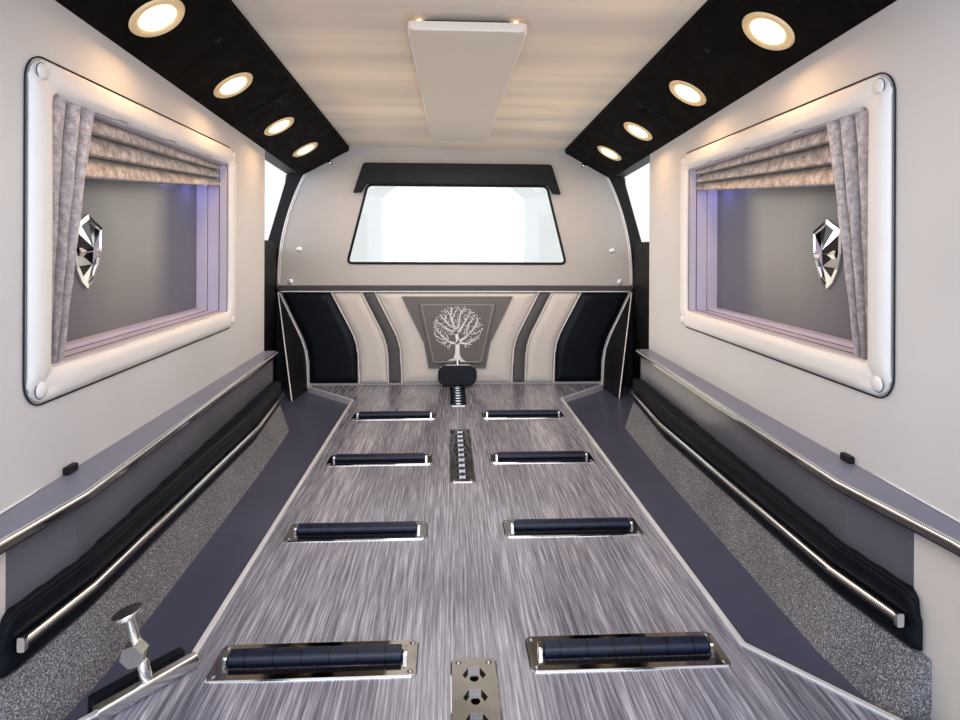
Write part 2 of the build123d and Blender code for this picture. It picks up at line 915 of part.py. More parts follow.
# half outline of the board, as (x, height above the deck): a bent line to the belt, then an arc to the roof
edge_foot = (620.0, -deck_thick)
edge_bend = (627.0, 150.0)
edge_bend_r = 300.0
edge_belt = (749.0, 403.0)
edge_bulge = (728.0, 640.0)
edge_roof = (640.0, 884.0)
panel_inset = 4.0
window_sill_half = 460.0
window_head_half = 378.0
window_round = 22.0
glass_setback = 6.0


def lower_edge(shift, low, high):
    """The board's bent lower edge moved sideways, from one height to another."""
    slope = (edge_belt[0] - edge_bend[0]) / (edge_belt[1] - edge_bend[1])
    foot = (edge_foot[0] + shift, low)
    bend = (edge_bend[0] + shift, edge_bend[1])
    top = (edge_bend[0] + slope * (high - edge_bend[1]) + shift, high)
    return FilletPolyline(foot, bend, top, radius=edge_bend_r)


def upper_edge(shift):
    """The board's upper edge from the belt to the roof, moved sideways."""
    belt, bulge, roof = [(x + shift, z) for x, z in (edge_belt, edge_bulge, edge_roof)]
    return ThreePointArc(belt, bulge, roof)


def level(line_end):
    """The level line from a right-hand end to its mirror image."""
    return Line((-line_end[0], line_end[1]), line_end)


def window_face(grow):
    """Cab window, wider at its sill, with rounded corners, as (x, z)."""
    low, high = window_sill - grow, window_head + grow
    sill, head = window_sill_half + grow, window_head_half + grow
    face = face_of(Polyline((-sill, low), (sill, low), (head, high), (-head, high), close=True))
    return fillet(face.vertices(), window_round)


def partition_panel():
    top = (edge_roof[0], ceiling_height + trim_thick - board_top_gap)
    right = [lower_edge(0.0, edge_foot[1], edge_belt[1]), upper_edge(0.0), Line(edge_roof, top)]
    face = face_of(*both_sides(*right), level(edge_foot), level(top))
    return upright(face - window_face(0.0), front_y, board_thick)


def cab_window():
    return upright(window_face(-seat_gap), front_y + glass_setback, glass_thick)


header_thick = 30.0
header_round = 16.0
header_edge = 3.0
# half outline of the header, as (x, height above the deck)
header_points = [(402.0, 802.0), (433.0, 800.0), (393.0, 925.0)]
header_inner = (380.0, 838.0)


def window_header():
    """Hood over the cab window."""
    outline = Polyline(*mirrored([header_inner, *header_points]), close=True)
    hood = upright(fillet(face_of(outline).vertices().sort_by(Axis.Y)[-2:], header_round),
                   front_y - header_thick - seat_gap, header_thick)
    return softened(hood, header_edge)


belt_inset = 6.0
belt_proud = 2.0
belt_edge = 4.0


def belt_strip():
    """Bright strip across the whole board between the cream top and the panels below."""
    half = edge_belt[0] - belt_inset
    corners = [(-half, belt_low), (half, belt_low), (half, belt_high), (-half, belt_high)]
    face = face_of(Polyline(*corners, close=True))
    return softened(upright(face, front_y - pad_thick - belt_proud, pad_thick + belt_proud - seat_gap), belt_edge)


# edges between the upright panels below the belt: half width at the foot and at the belt
stripe_edges = {"centre": (230.0, 347.0), "grey": (287.0, 404.0), "cream": (407.0, 527.0)}
stripe_lean = 8.0
stripe_bend = 175.0
stripe_bend_r = 320.0
stripe_gap = 1.5
stripe_low = 1.0
stripe_high = belt_low - 1.0
pad_edge_r = 4.0


def stripe_line(name, shift):
    """One edge between panels: upright at the foot, then a bend, then a slant to the belt."""
    foot, top = stripe_edges[name]
    return FilletPolyline((foot + shift, stripe_low), (foot + stripe_lean + shift, stripe_bend),
                          (top + shift, stripe_high), radius=stripe_bend_r)


def panel_pad(inner, outer):
    """A padded panel between two edge lines, both drawn from the foot up."""
    face = face_of(inner, outer, Line(inner @ 0, outer @ 0), Line(inner @ 1, outer @ 1))
    return softened(upright(face, front_y - pad_thick, pad_thick - seat_gap), pad_edge_r)


def stripe(inner, outer):
    return panel_pad(stripe_line(inner, stripe_gap / 2), stripe_line(outer, -stripe_gap / 2))


def grey_stripes():
    return pair(stripe("centre", "grey"))


def cream_panels():
    edge = stripe_line("centre", -stripe_gap / 2)
    middle = panel_pad(edge, mirror(edge, about=Plane.YZ))
    return [middle] + pair(stripe("grey", "cream"))


def black_panels():
    return pair(panel_pad(stripe_line("cream", stripe_gap / 2), lower_edge(-panel_inset, stripe_low, stripe_high)))


# half outlines of the plaque and of its raised middle, as (half width, height above the deck)
plaque_foot, plaque_top = (120.0, 68.0), (233.0, 369.0)
raised_foot, raised_top = (109.0, 88.0), (165.0, 344.0)
plaque_waist = (138.0, 172.0)
plaque_base = 7.0
plaque_raise = 6.0
plaque_round = 10.0


def tree_plaque():
    """Flared plaque with a raised middle panel."""
    rim = face_of(Polyline(*mirrored([plaque_foot, plaque_waist, plaque_top]), close=True))
    base = upright(rim, front_y - pad_thick - seat_gap - plaque_base, plaque_base)
    middle = fillet(face_of(Polyline(*mirrored([raised_foot, raised_top]), close=True)).vertices(), plaque_round)
    raised = upright(middle, front_y - pad_thick - seat_gap - plaque_base - plaque_raise, plaque_raise)
    return base + softened(raised, pad_edge_r)


# Side trim by the doors

door_sill_height = 600.0
door_slope_run = 60.0
door_slope_drop = 40.0
pillar_gap = 1.0
pillar_inset = 2.0
pillar_shoulder_height = 566.0
pillar_top = (708.0, 878.0)
wing_thick = 8.0
wing_reach = 194.0
# the wing's free edge, as (x, height above the deck), at its foot and at its top
wing_foot = (634.0, -deck_thick)
wing_top = (740.0, 385.0)
wing_tip = 8.0
wing_heights = [wing_foot[1], 90.0, 150.0, 210.0, 290.0, wing_top[1]]


def door_panel():
    """Panel in the doorway below its sill, between the wall's end and the pillar."""
    y0 = station(door_post) + post_size + seat_gap
    y1 = front_y - seat_gap
    top = deck_z + door_sill_height
    outline = [(y0, floor_z), (y1, floor_z), (y1, top - door_slope_drop), (y1 - door_slope_run, top), (y0, top)]
    return side_slab(outline, cage_half_width - post_size, trim_thick)


def pillar_cover():
    """Curved cover between the board's edge and the outside."""
    inner = [lower_edge(pillar_gap, edge_foot[1], edge_belt[1]), upper_edge(pillar_gap)]
    inner_top, inner_foot = (edge_roof[0] + pillar_gap, edge_roof[1]), (edge_foot[0] + pillar_gap, edge_foot[1])
    half = cage_half_width - pillar_inset
    outer = Polyline(inner_top, pillar_top, (half, pillar_shoulder_height), (half, edge_foot[1]), inner_foot)
    cover = upright(face_of(*inner, outer), front_y, board_thick)
    return cover - block(0, cage_half_width, front_y, front_y + board_thick, cant_low - pillar_gap, cant_top)


def wing():
    """Black return that closes the corner between the board and the door well."""
    edge = lower_edge(pillar_gap, edge_foot[1], edge_belt[1])
    sections = []
    for z in wing_heights:
        share = (z - wing_foot[1]) / (wing_top[1] - wing_foot[1])
        near_x = wing_foot[0] + share * (wing_top[0] - wing_foot[0])
        near_y = front_y - wing_reach + share * (wing_reach - wing_tip)
        far_x = reach_at(edge, z)
        corners = [(far_x, front_y - seat_gap), (near_x, near_y), (near_x + wing_thick, near_y),
                   (far_x + wing_thick, front_y - seat_gap)]
        sections.append(polygon([(x, y, deck_z + z) for x, y in corners]))
    return loft(sections, ruled=True)


def reach_at(edge, z):
    """How far out a line drawn as (x, z) is at one height."""
    steps = [edge @ (index / 200) for index in range(201)]
    return min(steps, key=lambda point: abs(point.Y - z)).X


def corner_trims():
    """Black trim on each side between the wall's end and the partition."""
    return pair(door_panel()) + pair(pillar_cover()) + pair(wing())


rear_sill_depth = 70.0
rear_sill_setback = 1.0


def rear_sill():
    """Bright plate across the rear edge of the deck."""
    return block(-deck_rear_half, deck_rear_half, rear_y + rear_sill_setback, rear_y + rear_sill_depth,
                 deck_z, deck_z + plate_thick)


for name, make in {
    "floor_sills": floor_sills,
    "crossmembers": crossmembers,
    "side_posts": posts,
    "cant_rails": cant_rails,
    "roof_bows": roof_bows,
    "floor_pan": floor_pan,
    "deck_panel": deck_panel,
    "deck_edge_trims": deck_edge_trims,
    "roller_plates": roller_plates,
    "bier_plates": bier_plates,
    "bier_stop_post": bier_stop_post,
    "bier_stop_pad": bier_stop_pad,
    "bier_clamp": bier_clamp,
    "bier_clamp_pad": bier_clamp_pad,
    "ledges": ledges,
    "ledge_trims": ledge_trims,
    "lower_panels": lower_panels,
    "rear_lower_panels": rear_lower_panels,
    "carpet_risers": carpet_risers,
    "bumper_pads": bumper_pads,
    "bumper_rails": bumper_rails,
    "upper_walls": upper_walls,
    "window_frames": window_frames,
    "window_boxes": window_boxes,
    "window_backs": window_backs,
    "curtains": curtains,
    "shields": shields,
    "valances": valances,
    "lamps": lamps,
    "headliner": headliner,
    "overhead_panel": overhead_panel,
    "partition_panel": partition_panel,
    "cab_window": cab_window,
    "window_header": window_header,
    "belt_strip": belt_strip,
    "black_panels": black_panels,
    "cream_panels": cream_panels,
    "grey_stripes": grey_stripes,
    "tree_plaque": tree_plaque,
    "corner_trims": corner_trims,
    "rear_sill": rear_sill,
}.items():
    save(name, make())

for row, side, x, y in roller_places():
    save(f"roller_{side}_{row}", roller(x, y))
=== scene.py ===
import bpy
import bmesh
import cmath
import math
import random
from mathutils import Matrix, Vector


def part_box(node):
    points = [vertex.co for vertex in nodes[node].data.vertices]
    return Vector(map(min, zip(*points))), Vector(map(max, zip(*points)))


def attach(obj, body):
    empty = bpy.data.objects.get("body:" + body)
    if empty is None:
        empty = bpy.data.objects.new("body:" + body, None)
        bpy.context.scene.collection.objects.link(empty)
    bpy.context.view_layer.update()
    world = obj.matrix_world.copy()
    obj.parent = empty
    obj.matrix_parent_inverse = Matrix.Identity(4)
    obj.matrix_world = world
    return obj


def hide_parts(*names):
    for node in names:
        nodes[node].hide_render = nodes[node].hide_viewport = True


# Casket compartment of a hearse: finishes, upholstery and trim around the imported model.
# Metres, +Y forward to the partition, +X the right side, Z up from the underside.

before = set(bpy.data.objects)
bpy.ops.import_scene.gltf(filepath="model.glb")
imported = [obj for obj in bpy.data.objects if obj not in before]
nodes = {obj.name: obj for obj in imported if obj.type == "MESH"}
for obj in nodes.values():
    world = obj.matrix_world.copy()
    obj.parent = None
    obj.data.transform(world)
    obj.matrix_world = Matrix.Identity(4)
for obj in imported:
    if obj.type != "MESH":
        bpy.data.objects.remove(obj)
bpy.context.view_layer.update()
print("frame loaded:", len(nodes), "nodes")


def srgb(red, green, blue):
    # a picture colour from 0 to 255, as the linear colour that the shader wants
    def linear(value):
        share = value / 255
        return share / 12.92 if share <= 0.04045 else ((share + 0.055) / 1.055) ** 2.4
    return (linear(red), linear(green), linear(blue), 1.0)


# every finish by its name, added as it is made
finishes = {}


# A Wire is one output of a node. Sums and products of Wires add Math nodes.

class Wire:
    def __init__(self, finish, plug):
        self.finish = finish
        self.plug = plug

    def math(self, operation, first, second=0.0):
        return self.finish.add("ShaderNodeMath", {"operation": operation}, {0: first, 1: second})

    def __add__(self, other):
        return self.math("ADD", self, other)

    def __sub__(self, other):
        return self.math("SUBTRACT", self, other)

    def __rsub__(self, other):
        return self.math("SUBTRACT", other, self)

    def __mul__(self, other):
        return self.math("MULTIPLY", self, other)

    def __gt__(self, other):
        return self.math("GREATER_THAN", self, other)

    def __lt__(self, other):
        return self.math("LESS_THAN", self, other)

    def __abs__(self):
        return self.math("ABSOLUTE", self)

    __radd__ = __add__
    __rmul__ = __mul__


class Finish:
    def __init__(self, name, kind=bpy.data.materials):
        self.name = name
        self.owner = kind.new(name)
        self.owner.use_nodes = True
        self.tree = self.owner.node_tree
        self.tree.nodes.clear()
        self.place = self.add("ShaderNodeTexCoord", {}, {}, "Object")

    def add(self, kind, settings, values, output=0):
        # settings come first, because some of them change which sockets there are
        node = self.tree.nodes.new(kind)
        for key, value in settings.items():
            if key == "stops":
                marks = node.color_ramp.elements
                marks[0].position, marks[-1].position = value[0][0], value[-1][0]
                for position, tint in value[1:-1]:
                    marks.new(position)
                for mark, (position, tint) in zip(marks, value):
                    mark.color = tint
            else:
                setattr(node, key, value)
        for key, value in values.items():
            socket = node.inputs[key]
            if isinstance(value, Wire):
                self.tree.links.new(value.plug, socket)
            else:
                socket.default_value = value
        return Wire(self, node.outputs[output] if len(node.outputs) else None)

    def stretched(self, x, y, z):
        return self.add("ShaderNodeVectorMath", {"operation": "MULTIPLY"}, {0: self.place, 1: (x, y, z)})

    def axis(self, name):
        return self.add("ShaderNodeSeparateXYZ", {}, {0: self.place}, name)

    def facing(self, name):
        # how far the surface faces along one axis of the compartment
        normal = self.add("ShaderNodeTexCoord", {}, {}, "Normal")
        return self.add("ShaderNodeSeparateXYZ", {}, {0: normal}, name)

    def noise(self, scale, detail=3.0, rough=0.55, place=None):
        values = {"Vector": place or self.place, "Scale": scale, "Detail": detail, "Roughness": rough}
        return self.add("ShaderNodeTexNoise", {}, values, "Fac")

    def cells(self, scale):
        return self.add("ShaderNodeTexVoronoi", {}, {"Vector": self.place, "Scale": scale}, "Distance")

    def ramp(self, factor, *stops):
        # each stop is a place from 0 to 1 and a picture colour
        tints = [(place, srgb(*tint)) for place, tint in stops]
        return self.add("ShaderNodeValToRGB", {"stops": tints}, {"Fac": factor}, "Color")

    def blend(self, factor, first, second):
        return self.add("ShaderNodeMix", {"data_type": "RGBA"}, {0: factor, 6: first, 7: second}, 2)

    def level(self, factor, low, high, start=0.0, end=1.0):
        values = {"Value": factor, "From Min": low, "From Max": high, "To Min": start, "To Max": end}
        return self.add("ShaderNodeMapRange", {}, values)

    def spread(self, noise, start, end):
        # the usual range of a noise as another range
        return self.level(noise, 0.3, 0.7, start, end)

    def bump(self, height, distance, strength=1.0):
        return self.add("ShaderNodeBump", {}, {"Height": height, "Distance": distance, "Strength": strength})

    def done(self, sockets):
        surface = self.add("ShaderNodeBsdfPrincipled", {}, sockets)
        self.add("ShaderNodeOutputMaterial", {}, {"Surface": surface})
        finishes[self.name] = self.owner


# Key places of the compartment. The inner face of a side wall is x = half + toe * (y - rear), and up is from the deck.

wallPlane = {"half": 0.590, "toe": 0.025, "rear": -1.260, "board": 0.018}
toeAngle = math.atan(wallPlane["toe"])
deckHeight = 0.100
partitionFace = 1.192
bothSides = (1, -1)
rollerNames = [name for name in sorted(nodes) if name.startswith(("roller_left", "roller_right"))]


# Finishes of the compartment


def outOfWall(finish):
    # how far a point lies outside the inner face of the side walls
    across = abs(finish.axis("X"))
    return across - (finish.axis("Y") - wallPlane["rear"]) * wallPlane["toe"] - wallPlane["half"]


def grained(finish, cellScale=850):
    # fine leather grain: creased cells with a little noise in them
    return finish.cells(cellScale) * 0.7 + finish.noise(cellScale * 2.4, 2) * 0.3


windowCut = {"middle": -0.082, "half": 0.45, "low": 0.33}


def makeWallVinyl():
    # vinyl on the face, fibreboard behind, and the window opening's cut edges painted like the box behind them
    finish = Finish("wallVinyl")
    cloud = finish.noise(2.2, 2)
    cover = finish.ramp(cloud, (0.3, (192, 192, 194)), (0.7, (205, 205, 207)))
    back = finish.ramp(finish.noise(1, 4, 0.6, finish.stretched(5, 60, 60)), (0.3, (150, 118, 82)),
                       (0.7, (190, 156, 114)))
    isBack = outOfWall(finish) > wallPlane["board"] * 0.97
    isNear = abs(finish.axis("Y") - windowCut["middle"]) < windowCut["half"]
    isCut = (abs(finish.facing("X")) < 0.5) * isNear * (finish.axis("Z") > windowCut["low"])
    finish.done({
        "Base Color": finish.blend(isCut, finish.blend(isBack, cover, back), srgb(186, 180, 198)),
        "Roughness": finish.spread(finish.noise(9, 3), 0.38, 0.5),
        "Normal": finish.bump(grained(finish), 0.0003, 0.5),
    })


def makeVinyl(name, dark, light, roughness=0.42, coat=0.0, cellScale=850, depth=0.0003, shine=0.5):
    finish = Finish(name)
    cloud = finish.noise(3, 2)
    wear = finish.noise(38, 4, 0.65)
    finish.done({
        "Base Color": finish.ramp(cloud * 0.7 + wear * 0.3, (0.3, dark), (0.7, light)),
        "Roughness": finish.spread(wear, roughness - 0.06, roughness + 0.08),
        "Coat Weight": coat,
        "Specular IOR Level": shine,
        "Normal": finish.bump(grained(finish, cellScale), depth, 0.6),
    })


def makeDeckLaminate():
    finish = Finish("deckLaminate")
    broad = finish.noise(1, 2, 0.5, finish.stretched(9, 0.9, 9))
    strokes = finish.noise(1, 4, 0.6, finish.stretched(260, 6, 260))
    hairs = finish.noise(1, 3, 0.6, finish.stretched(760, 16, 760))
    tone = strokes * 0.55 + hairs * 0.34 + broad * 0.22
    finish.done({
        "Base Color": finish.ramp(tone, (0.44, (70, 71, 86)), (0.53, (102, 104, 119)),
                                  (0.60, (134, 136, 152)), (0.70, (178, 181, 194))),
        "Roughness": finish.level(tone, 0.4, 0.75, 0.26, 0.18),
        "Coat Weight": 0.35,
        "Coat Roughness": 0.12,
        "Normal": finish.bump(tone, 0.0002, 0.25),
    })


def makeLaminate(name, dark, light, roughness=0.3, shine=0.5):
    finish = Finish(name)
    cloud = finish.noise(6, 3)
    speck = finish.noise(420, 3)
    finish.done({
        "Base Color": finish.ramp(cloud * 0.75 + speck * 0.25, (0.35, dark), (0.65, light)),
        "Roughness": finish.spread(speck, roughness, roughness + 0.04),
        "Specular IOR Level": shine,
    })


def makeCarpet():
    finish = Finish("carpet")
    tufts = finish.noise(400, 4, 0.7)
    loops = finish.cells(560)
    shade = finish.noise(7, 3)
    pile = tufts * 0.75 + loops * 0.35 + shade * 0.12
    finish.done({
        "Base Color": finish.ramp(pile, (0.44, (34, 35, 41)), (0.55, (82, 83, 91)),
                                  (0.66, (126, 127, 134)), (0.78, (196, 195, 194))),
        "Roughness": 0.95,
        "Sheen Weight": 0.08,
        "Normal": finish.bump(pile, 0.004, 0.9),
    })


def makePlush(name, dark, middle, light, crushScale, shadeDepths):
    # the pleats' valleys get painted shade: the deeper a point lies out of the wall, the darker it is painted; the last
    # argument gives the distances out of the wall where the painted shade begins and where it is full
    finish = Finish(name)
    crush = finish.noise(crushScale, 6, 0.75)
    nap = finish.noise(700, 3, 0.7)
    tone = crush * 0.72 + nap * 0.28
    pile = finish.ramp(tone, (0.38, dark), (0.5, middle), (0.62, light))
    shade = finish.level(outOfWall(finish), shadeDepths[0], shadeDepths[1])
    finish.done({
        "Base Color": finish.blend(shade * 0.9, pile, srgb(*[value * 0.32 for value in dark])),
        "Roughness": 0.9,
        "Sheen Weight": 0.25,
        "Sheen Roughness": 0.4,
        "Normal": finish.bump(nap * 0.8 + crush * 0.2, 0.0005, 0.5),
    })


def makeHeadlinerCloth():
    finish = Finish("headlinerCloth")
    knit = finish.cells(620)
    cloud = finish.noise(1, 3, 0.5, finish.stretched(0.7, 6, 1))
    finish.done({
        "Base Color": finish.ramp(cloud, (0.38, (206, 198, 187)), (0.62, (238, 226, 208))),
        "Roughness": 0.92,
        "Sheen Weight": 0.2,
        "Normal": finish.bump(knit, 0.0006, 0.5),
    })


def makePerforatedLeather():
    # the roof slopes, so the hole grid runs in X and Y and is a little longer down the slope
    finish = Finish("perforatedLeather")
    grid = {"Vector": finish.stretched(150, 150, 0), "Scale": 1.0, "Randomness": 0.0}
    away = finish.add("ShaderNodeTexVoronoi", {"voronoi_dimensions": "2D"}, grid, "Distance")
    hole = finish.level(away, 0.2, 0.3, 1.0, 0.0)
    grain = grained(finish, 700)
    leather = finish.ramp(finish.noise(12, 3), (0.3, (7, 6, 5)), (0.7, (13, 11, 10)))
    finish.done({
        "Base Color": finish.blend(hole, leather, srgb(3, 3, 3)),
        "Roughness": finish.spread(finish.noise(20, 3), 0.55, 0.7),
        "Specular IOR Level": 0.05,
        "Normal": finish.bump(grain * 0.3 - hole, 0.0008, 0.7),
    })


def makeMetal(name, tint, roughness):
    finish = Finish(name)
    smear = finish.noise(18, 4, 0.6)
    hair = finish.noise(1, 3, 0.6, finish.stretched(600, 600, 600))
    finish.done({
        "Base Color": finish.ramp(smear, (0.3, [value - 8 for value in tint]), (0.7, tint)),
        "Metallic": 1.0,
        "Roughness": finish.spread(smear * 0.6 + hair * 0.4, roughness * 0.7, roughness * 1.5),
        "Normal": finish.bump(hair, 0.00005, 0.3),
    })


def makeEdging():
    # anodised edging, plain and bright
    finish = Finish("brightEdge")
    dull = finish.noise(12, 3)
    finish.done({
        "Base Color": finish.ramp(dull, (0.3, (226, 229, 235)), (0.7, (238, 241, 246))),
        "Metallic": 0.55,
        "Roughness": finish.spread(dull, 0.34, 0.42),
    })


def makeRailChrome():
    # polished trim with a painted reflection: faces that look up are painted bright like the roof, and faces that look
    # down are painted dark like the deck
    finish = Finish("trimChrome")
    paintedReflectionUp = finish.level(finish.facing("Z"), -0.35, 0.45)
    finish.done({
        "Base Color": finish.ramp(paintedReflectionUp, (0.0, (58, 54, 52)), (0.5, (132, 129, 127)), (1.0, (228, 226, 224))),
        "Metallic": 1.0,
        "Roughness": finish.spread(finish.noise(14, 3), 0.08, 0.16),
    })


def makePlateChrome(name, dark, light, edge):
    # painted reflection: the flat faces are painted dark like the compartment that they mirror, and the bevels and ends
    # get a painted highlight
    finish = Finish(name)
    smear = finish.noise(7, 3)
    flat = finish.ramp(smear, (0.35, dark), (0.65, light))
    isFlat = finish.facing("Z") > 0.97
    finish.done({
        "Base Color": finish.blend(isFlat, srgb(*edge), flat),
        "Metallic": 1.0,
        "Roughness": finish.spread(smear, 0.03, 0.1),
    })


# the sleeves of a roller: their reach from its middle, their pitch, and the roller's own place from the centre line
sleeves = {"reach": 0.0960, "pitch": 0.0384, "roller": 0.219}


def makeRollerRubber():
    # navy sleeves with dark joints between them, the same distances from the middle of every roller
    finish = Finish("rollerRubber")
    fromFirst = abs(finish.axis("X")) + (sleeves["reach"] + sleeves["pitch"] * 6 - sleeves["roller"])
    fromJoint = fromFirst.math("PINGPONG", fromFirst, sleeves["pitch"] / 2)
    joint = finish.level(fromJoint, 0.0008, 0.0018, 1.0, 0.0)
    cloud = finish.noise(40, 3)
    sleeve = finish.ramp(cloud, (0.3, (6, 12, 29)), (0.7, (10, 22, 46)))
    finish.done({
        "Base Color": finish.blend(joint, sleeve, srgb(2, 3, 5)),
        "Roughness": finish.spread(cloud, 0.36, 0.44),
        "Specular IOR Level": 0.3,
        "Normal": finish.bump(finish.noise(900, 2), 0.0001, 0.4),
    })


# the painted highlight on the window backs: where it runs along Y at its rear and front edges, and where it rises in Z
paintedHighlight = {"rear": (-0.36, -0.12), "front": (0.12, 0.02), "rise": (0.52, 0.78)}


def makeBackPanel():
    # satin paint with a painted highlight: paler in the upper middle of the panel and darker towards the edges and the
    # foot, a painted reflection of the light from the rear
    finish = Finish("backPanel")
    along = finish.axis("Y")
    band = finish.level(along, *paintedHighlight["rear"]) * finish.level(along, *paintedHighlight["front"])
    upper = finish.level(finish.axis("Z"), *paintedHighlight["rise"])
    highlight = band * (0.25 + 0.75 * upper) + finish.noise(3, 2) * 0.08
    finish.done({
        "Base Color": finish.ramp(highlight, (0.0, (88, 90, 106)), (0.9, (154, 154, 150))),
        "Roughness": finish.spread(finish.noise(5, 2), 0.3, 0.36),
        "Specular IOR Level": 0.4,
    })


def makeGlass():
    finish = Finish("glass")
    film = finish.noise(6, 3)
    finish.done({
        "Base Color": srgb(236, 242, 242),
        "Roughness": finish.spread(film, 0.0, 0.03),
        "Transmission Weight": 1.0,
        "IOR": 1.45,
    })


def makeGlow():
    finish = Finish("lampGlow")
    ring = finish.noise(60, 2)
    finish.done({
        "Base Color": srgb(250, 238, 215),
        "Roughness": finish.spread(ring, 0.3, 0.4),
        "Emission Color": finish.ramp(ring, (0.3, (255, 214, 150)), (0.7, (255, 226, 176))),
        "Emission Strength": 3.0,
    })


makeWallVinyl()
makeVinyl("frameVinyl", (212, 211, 212), (219, 218, 218), 0.46, shine=0.35)
makeVinyl("creamVinyl", (195, 191, 186), (203, 199, 194), 0.45, shine=0.35)
# the partition board gets a darker copy of the wall vinyl: painted shade against the stronger light that falls on the
# partition
makeVinyl("shadedBoardVinyl", (174, 173, 171), (182, 181, 179), 0.45, shine=0.3)
makeVinyl("consoleVinyl", (208, 201, 190), (217, 210, 199), 0.5)
makeVinyl("greyVinyl", (64, 64, 67), (74, 74, 77), 0.45, shine=0.25)
makeVinyl("stripeVinyl", (76, 75, 77), (87, 86, 88), 0.5, shine=0.2)
makeVinyl("blackVinyl", (5, 8, 14), (10, 14, 22), 0.4, shine=0.14)
makeVinyl("plaqueVinyl", (90, 87, 87), (102, 99, 98), 0.45, shine=0.35)
makeVinyl("blackPlastic", (12, 12, 14), (20, 20, 23), 0.5, cellScale=1200, depth=0.0002, shine=0.25)
makePerforatedLeather()
makeDeckLaminate()
makeLaminate("ledgeLaminate", (98, 103, 124), (110, 115, 136), 0.3, shine=0.3)
makeLaminate("lowerPanel", (80, 82, 92), (92, 94, 104), 0.36, shine=0.35)
makeLaminate("floorVinyl", (58, 62, 82), (68, 72, 94), 0.3, shine=0.3)
makeBackPanel()
makeLaminate("lilacPaint", (180, 174, 194), (192, 186, 206), 0.4, shine=0.3)
makeLaminate("cagePaint", (58, 60, 64), (68, 70, 74), 0.5)
makeCarpet()
# both plush finishes paint shade into the valleys between their pleats
makePlush("plush", (134, 129, 137), (170, 165, 172), (206, 202, 208), crushScale=90, shadeDepths=(-0.003, 0.008))
makePlush("plushSwag", (120, 110, 105), (176, 164, 158), (222, 211, 204), crushScale=60, shadeDepths=(0.0145, 0.0255))
makeVinyl("pipingWhite", (226, 226, 228), (238, 238, 240), 0.4, cellScale=1500, depth=0.0001)
makeVinyl("treeWhite", (224, 225, 227), (238, 238, 238), 0.5, cellScale=1800, depth=0.0001)
makeMetal("darkChrome", (150, 152, 156), 0.16)
# a dark copy of the chrome for every other facet of the shields: painted dark reflection
makeMetal("paintedDarkFacet", (66, 66, 70), 0.06)
makeHeadlinerCloth()
makeMetal("chrome", (232, 233, 235), 0.07)
makeEdging()
# chrome plates with painted reflection: dark flats, and painted highlights on the edges
makePlateChrome("plateChrome", (92, 87, 83), (128, 123, 119), (240, 241, 243))
makePlateChrome("bierChrome", (74, 70, 66), (100, 96, 92), (176, 178, 182))
makeMetal("clampChrome", (240, 239, 234), 0.2)
makeRailChrome()
makeRollerRubber()
makeVinyl("rubber", (8, 11, 18), (13, 17, 27), 0.4, cellScale=1500, depth=0.0001, shine=0.2)
makeVinyl("lampRim", (236, 208, 158), (246, 222, 176), 0.35, coat=0.2, cellScale=1500, depth=0.0001)
makeGlass()
makeGlow()
print("finishes ready:", len(finishes))

nodeFinishes = {
    "cagePaint": ["floor_sills", "crossmembers", "side_posts", "cant_rails", "roof_bows"],
    "floorVinyl": ["floor_pan"],
    "deckLaminate": ["deck_panel"],
    "brightEdge": ["deck_edge_trims", "rear_sill"],
    "plateChrome": ["roller_plates"],
    "bierChrome": ["bier_plates"],
    "clampChrome": ["bier_clamp"],
    "chrome": ["bier_stop_post", "shields"],
    "trimChrome": ["ledge_trims", "bumper_rails"],
    "rubber": ["bier_stop_pad", "bier_clamp_pad"],
    "ledgeLaminate": ["ledges"],
    "lowerPanel": ["lower_panels"],
    "wallVinyl": ["upper_walls"],
    "creamVinyl": ["rear_lower_panels", "cream_panels"],
    "shadedBoardVinyl": ["partition_panel"],
    "carpet": ["carpet_risers"],
    "blackVinyl": ["bumper_pads", "black_panels"],
    "frameVinyl": ["window_frames"],
    "lilacPaint": ["window_boxes"],
    "backPanel": ["window_backs"],
    "plush": ["curtains"],
    "perforatedLeather": ["valances"],
    "lampRim": ["lamps"],
    "headlinerCloth": ["headliner"],
    "consoleVinyl": ["overhead_panel"],
    "glass": ["cab_window"],
    "blackPlastic": ["window_header", "corner_trims"],
    "greyVinyl": ["belt_strip"],
    "stripeVinyl": ["grey_stripes"],
    "plaqueVinyl": ["tree_plaque"],
    "rollerRubber": rollerNames,
}
for finishName, nodeNames in nodeFinishes.items():
    for nodeName in nodeNames:
        nodes[nodeName].data.materials.clear()
        nodes[nodeName].data.materials.append(finishes[finishName])


# Mesh helpers. Points along a side wall are (out of its face, along it from the rear, up from the deck).


def onWall(out, along, up):
    x = wallPlane["half"] + out * math.cos(toeAngle) + along * math.sin(toeAngle)
    y = wallPlane["rear"] - out * math.sin(toeAngle) + along * math.cos(toeAngle)
    return Vector((x, y, deckHeight + up))


def outAlongUp(point):
    # the reverse of onWall
    x, y = point[0] - wallPlane["half"], point[1] - wallPlane["rear"]
    out = x * math.cos(toeAngle) - y * math.sin(toeAngle)
    along = x * math.sin(toeAngle) + y * math.cos(toeAngle)
    return out, along, point[2] - deckHeight


def onPartition(x, proud, up):
    # a point in front of the partition's face
    return Vector((x, partitionFace - proud, deckHeight + up))


def evenly(low, high, steps):
    # values from low to high in even steps, both ends included
    return [low + (high - low) * step / steps for step in range(steps + 1)]


def link(name, mesh):
    piece = bpy.data.objects.new(name, mesh)
    bpy.context.scene.collection.objects.link(piece)
    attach(piece, "compartment")
    return piece


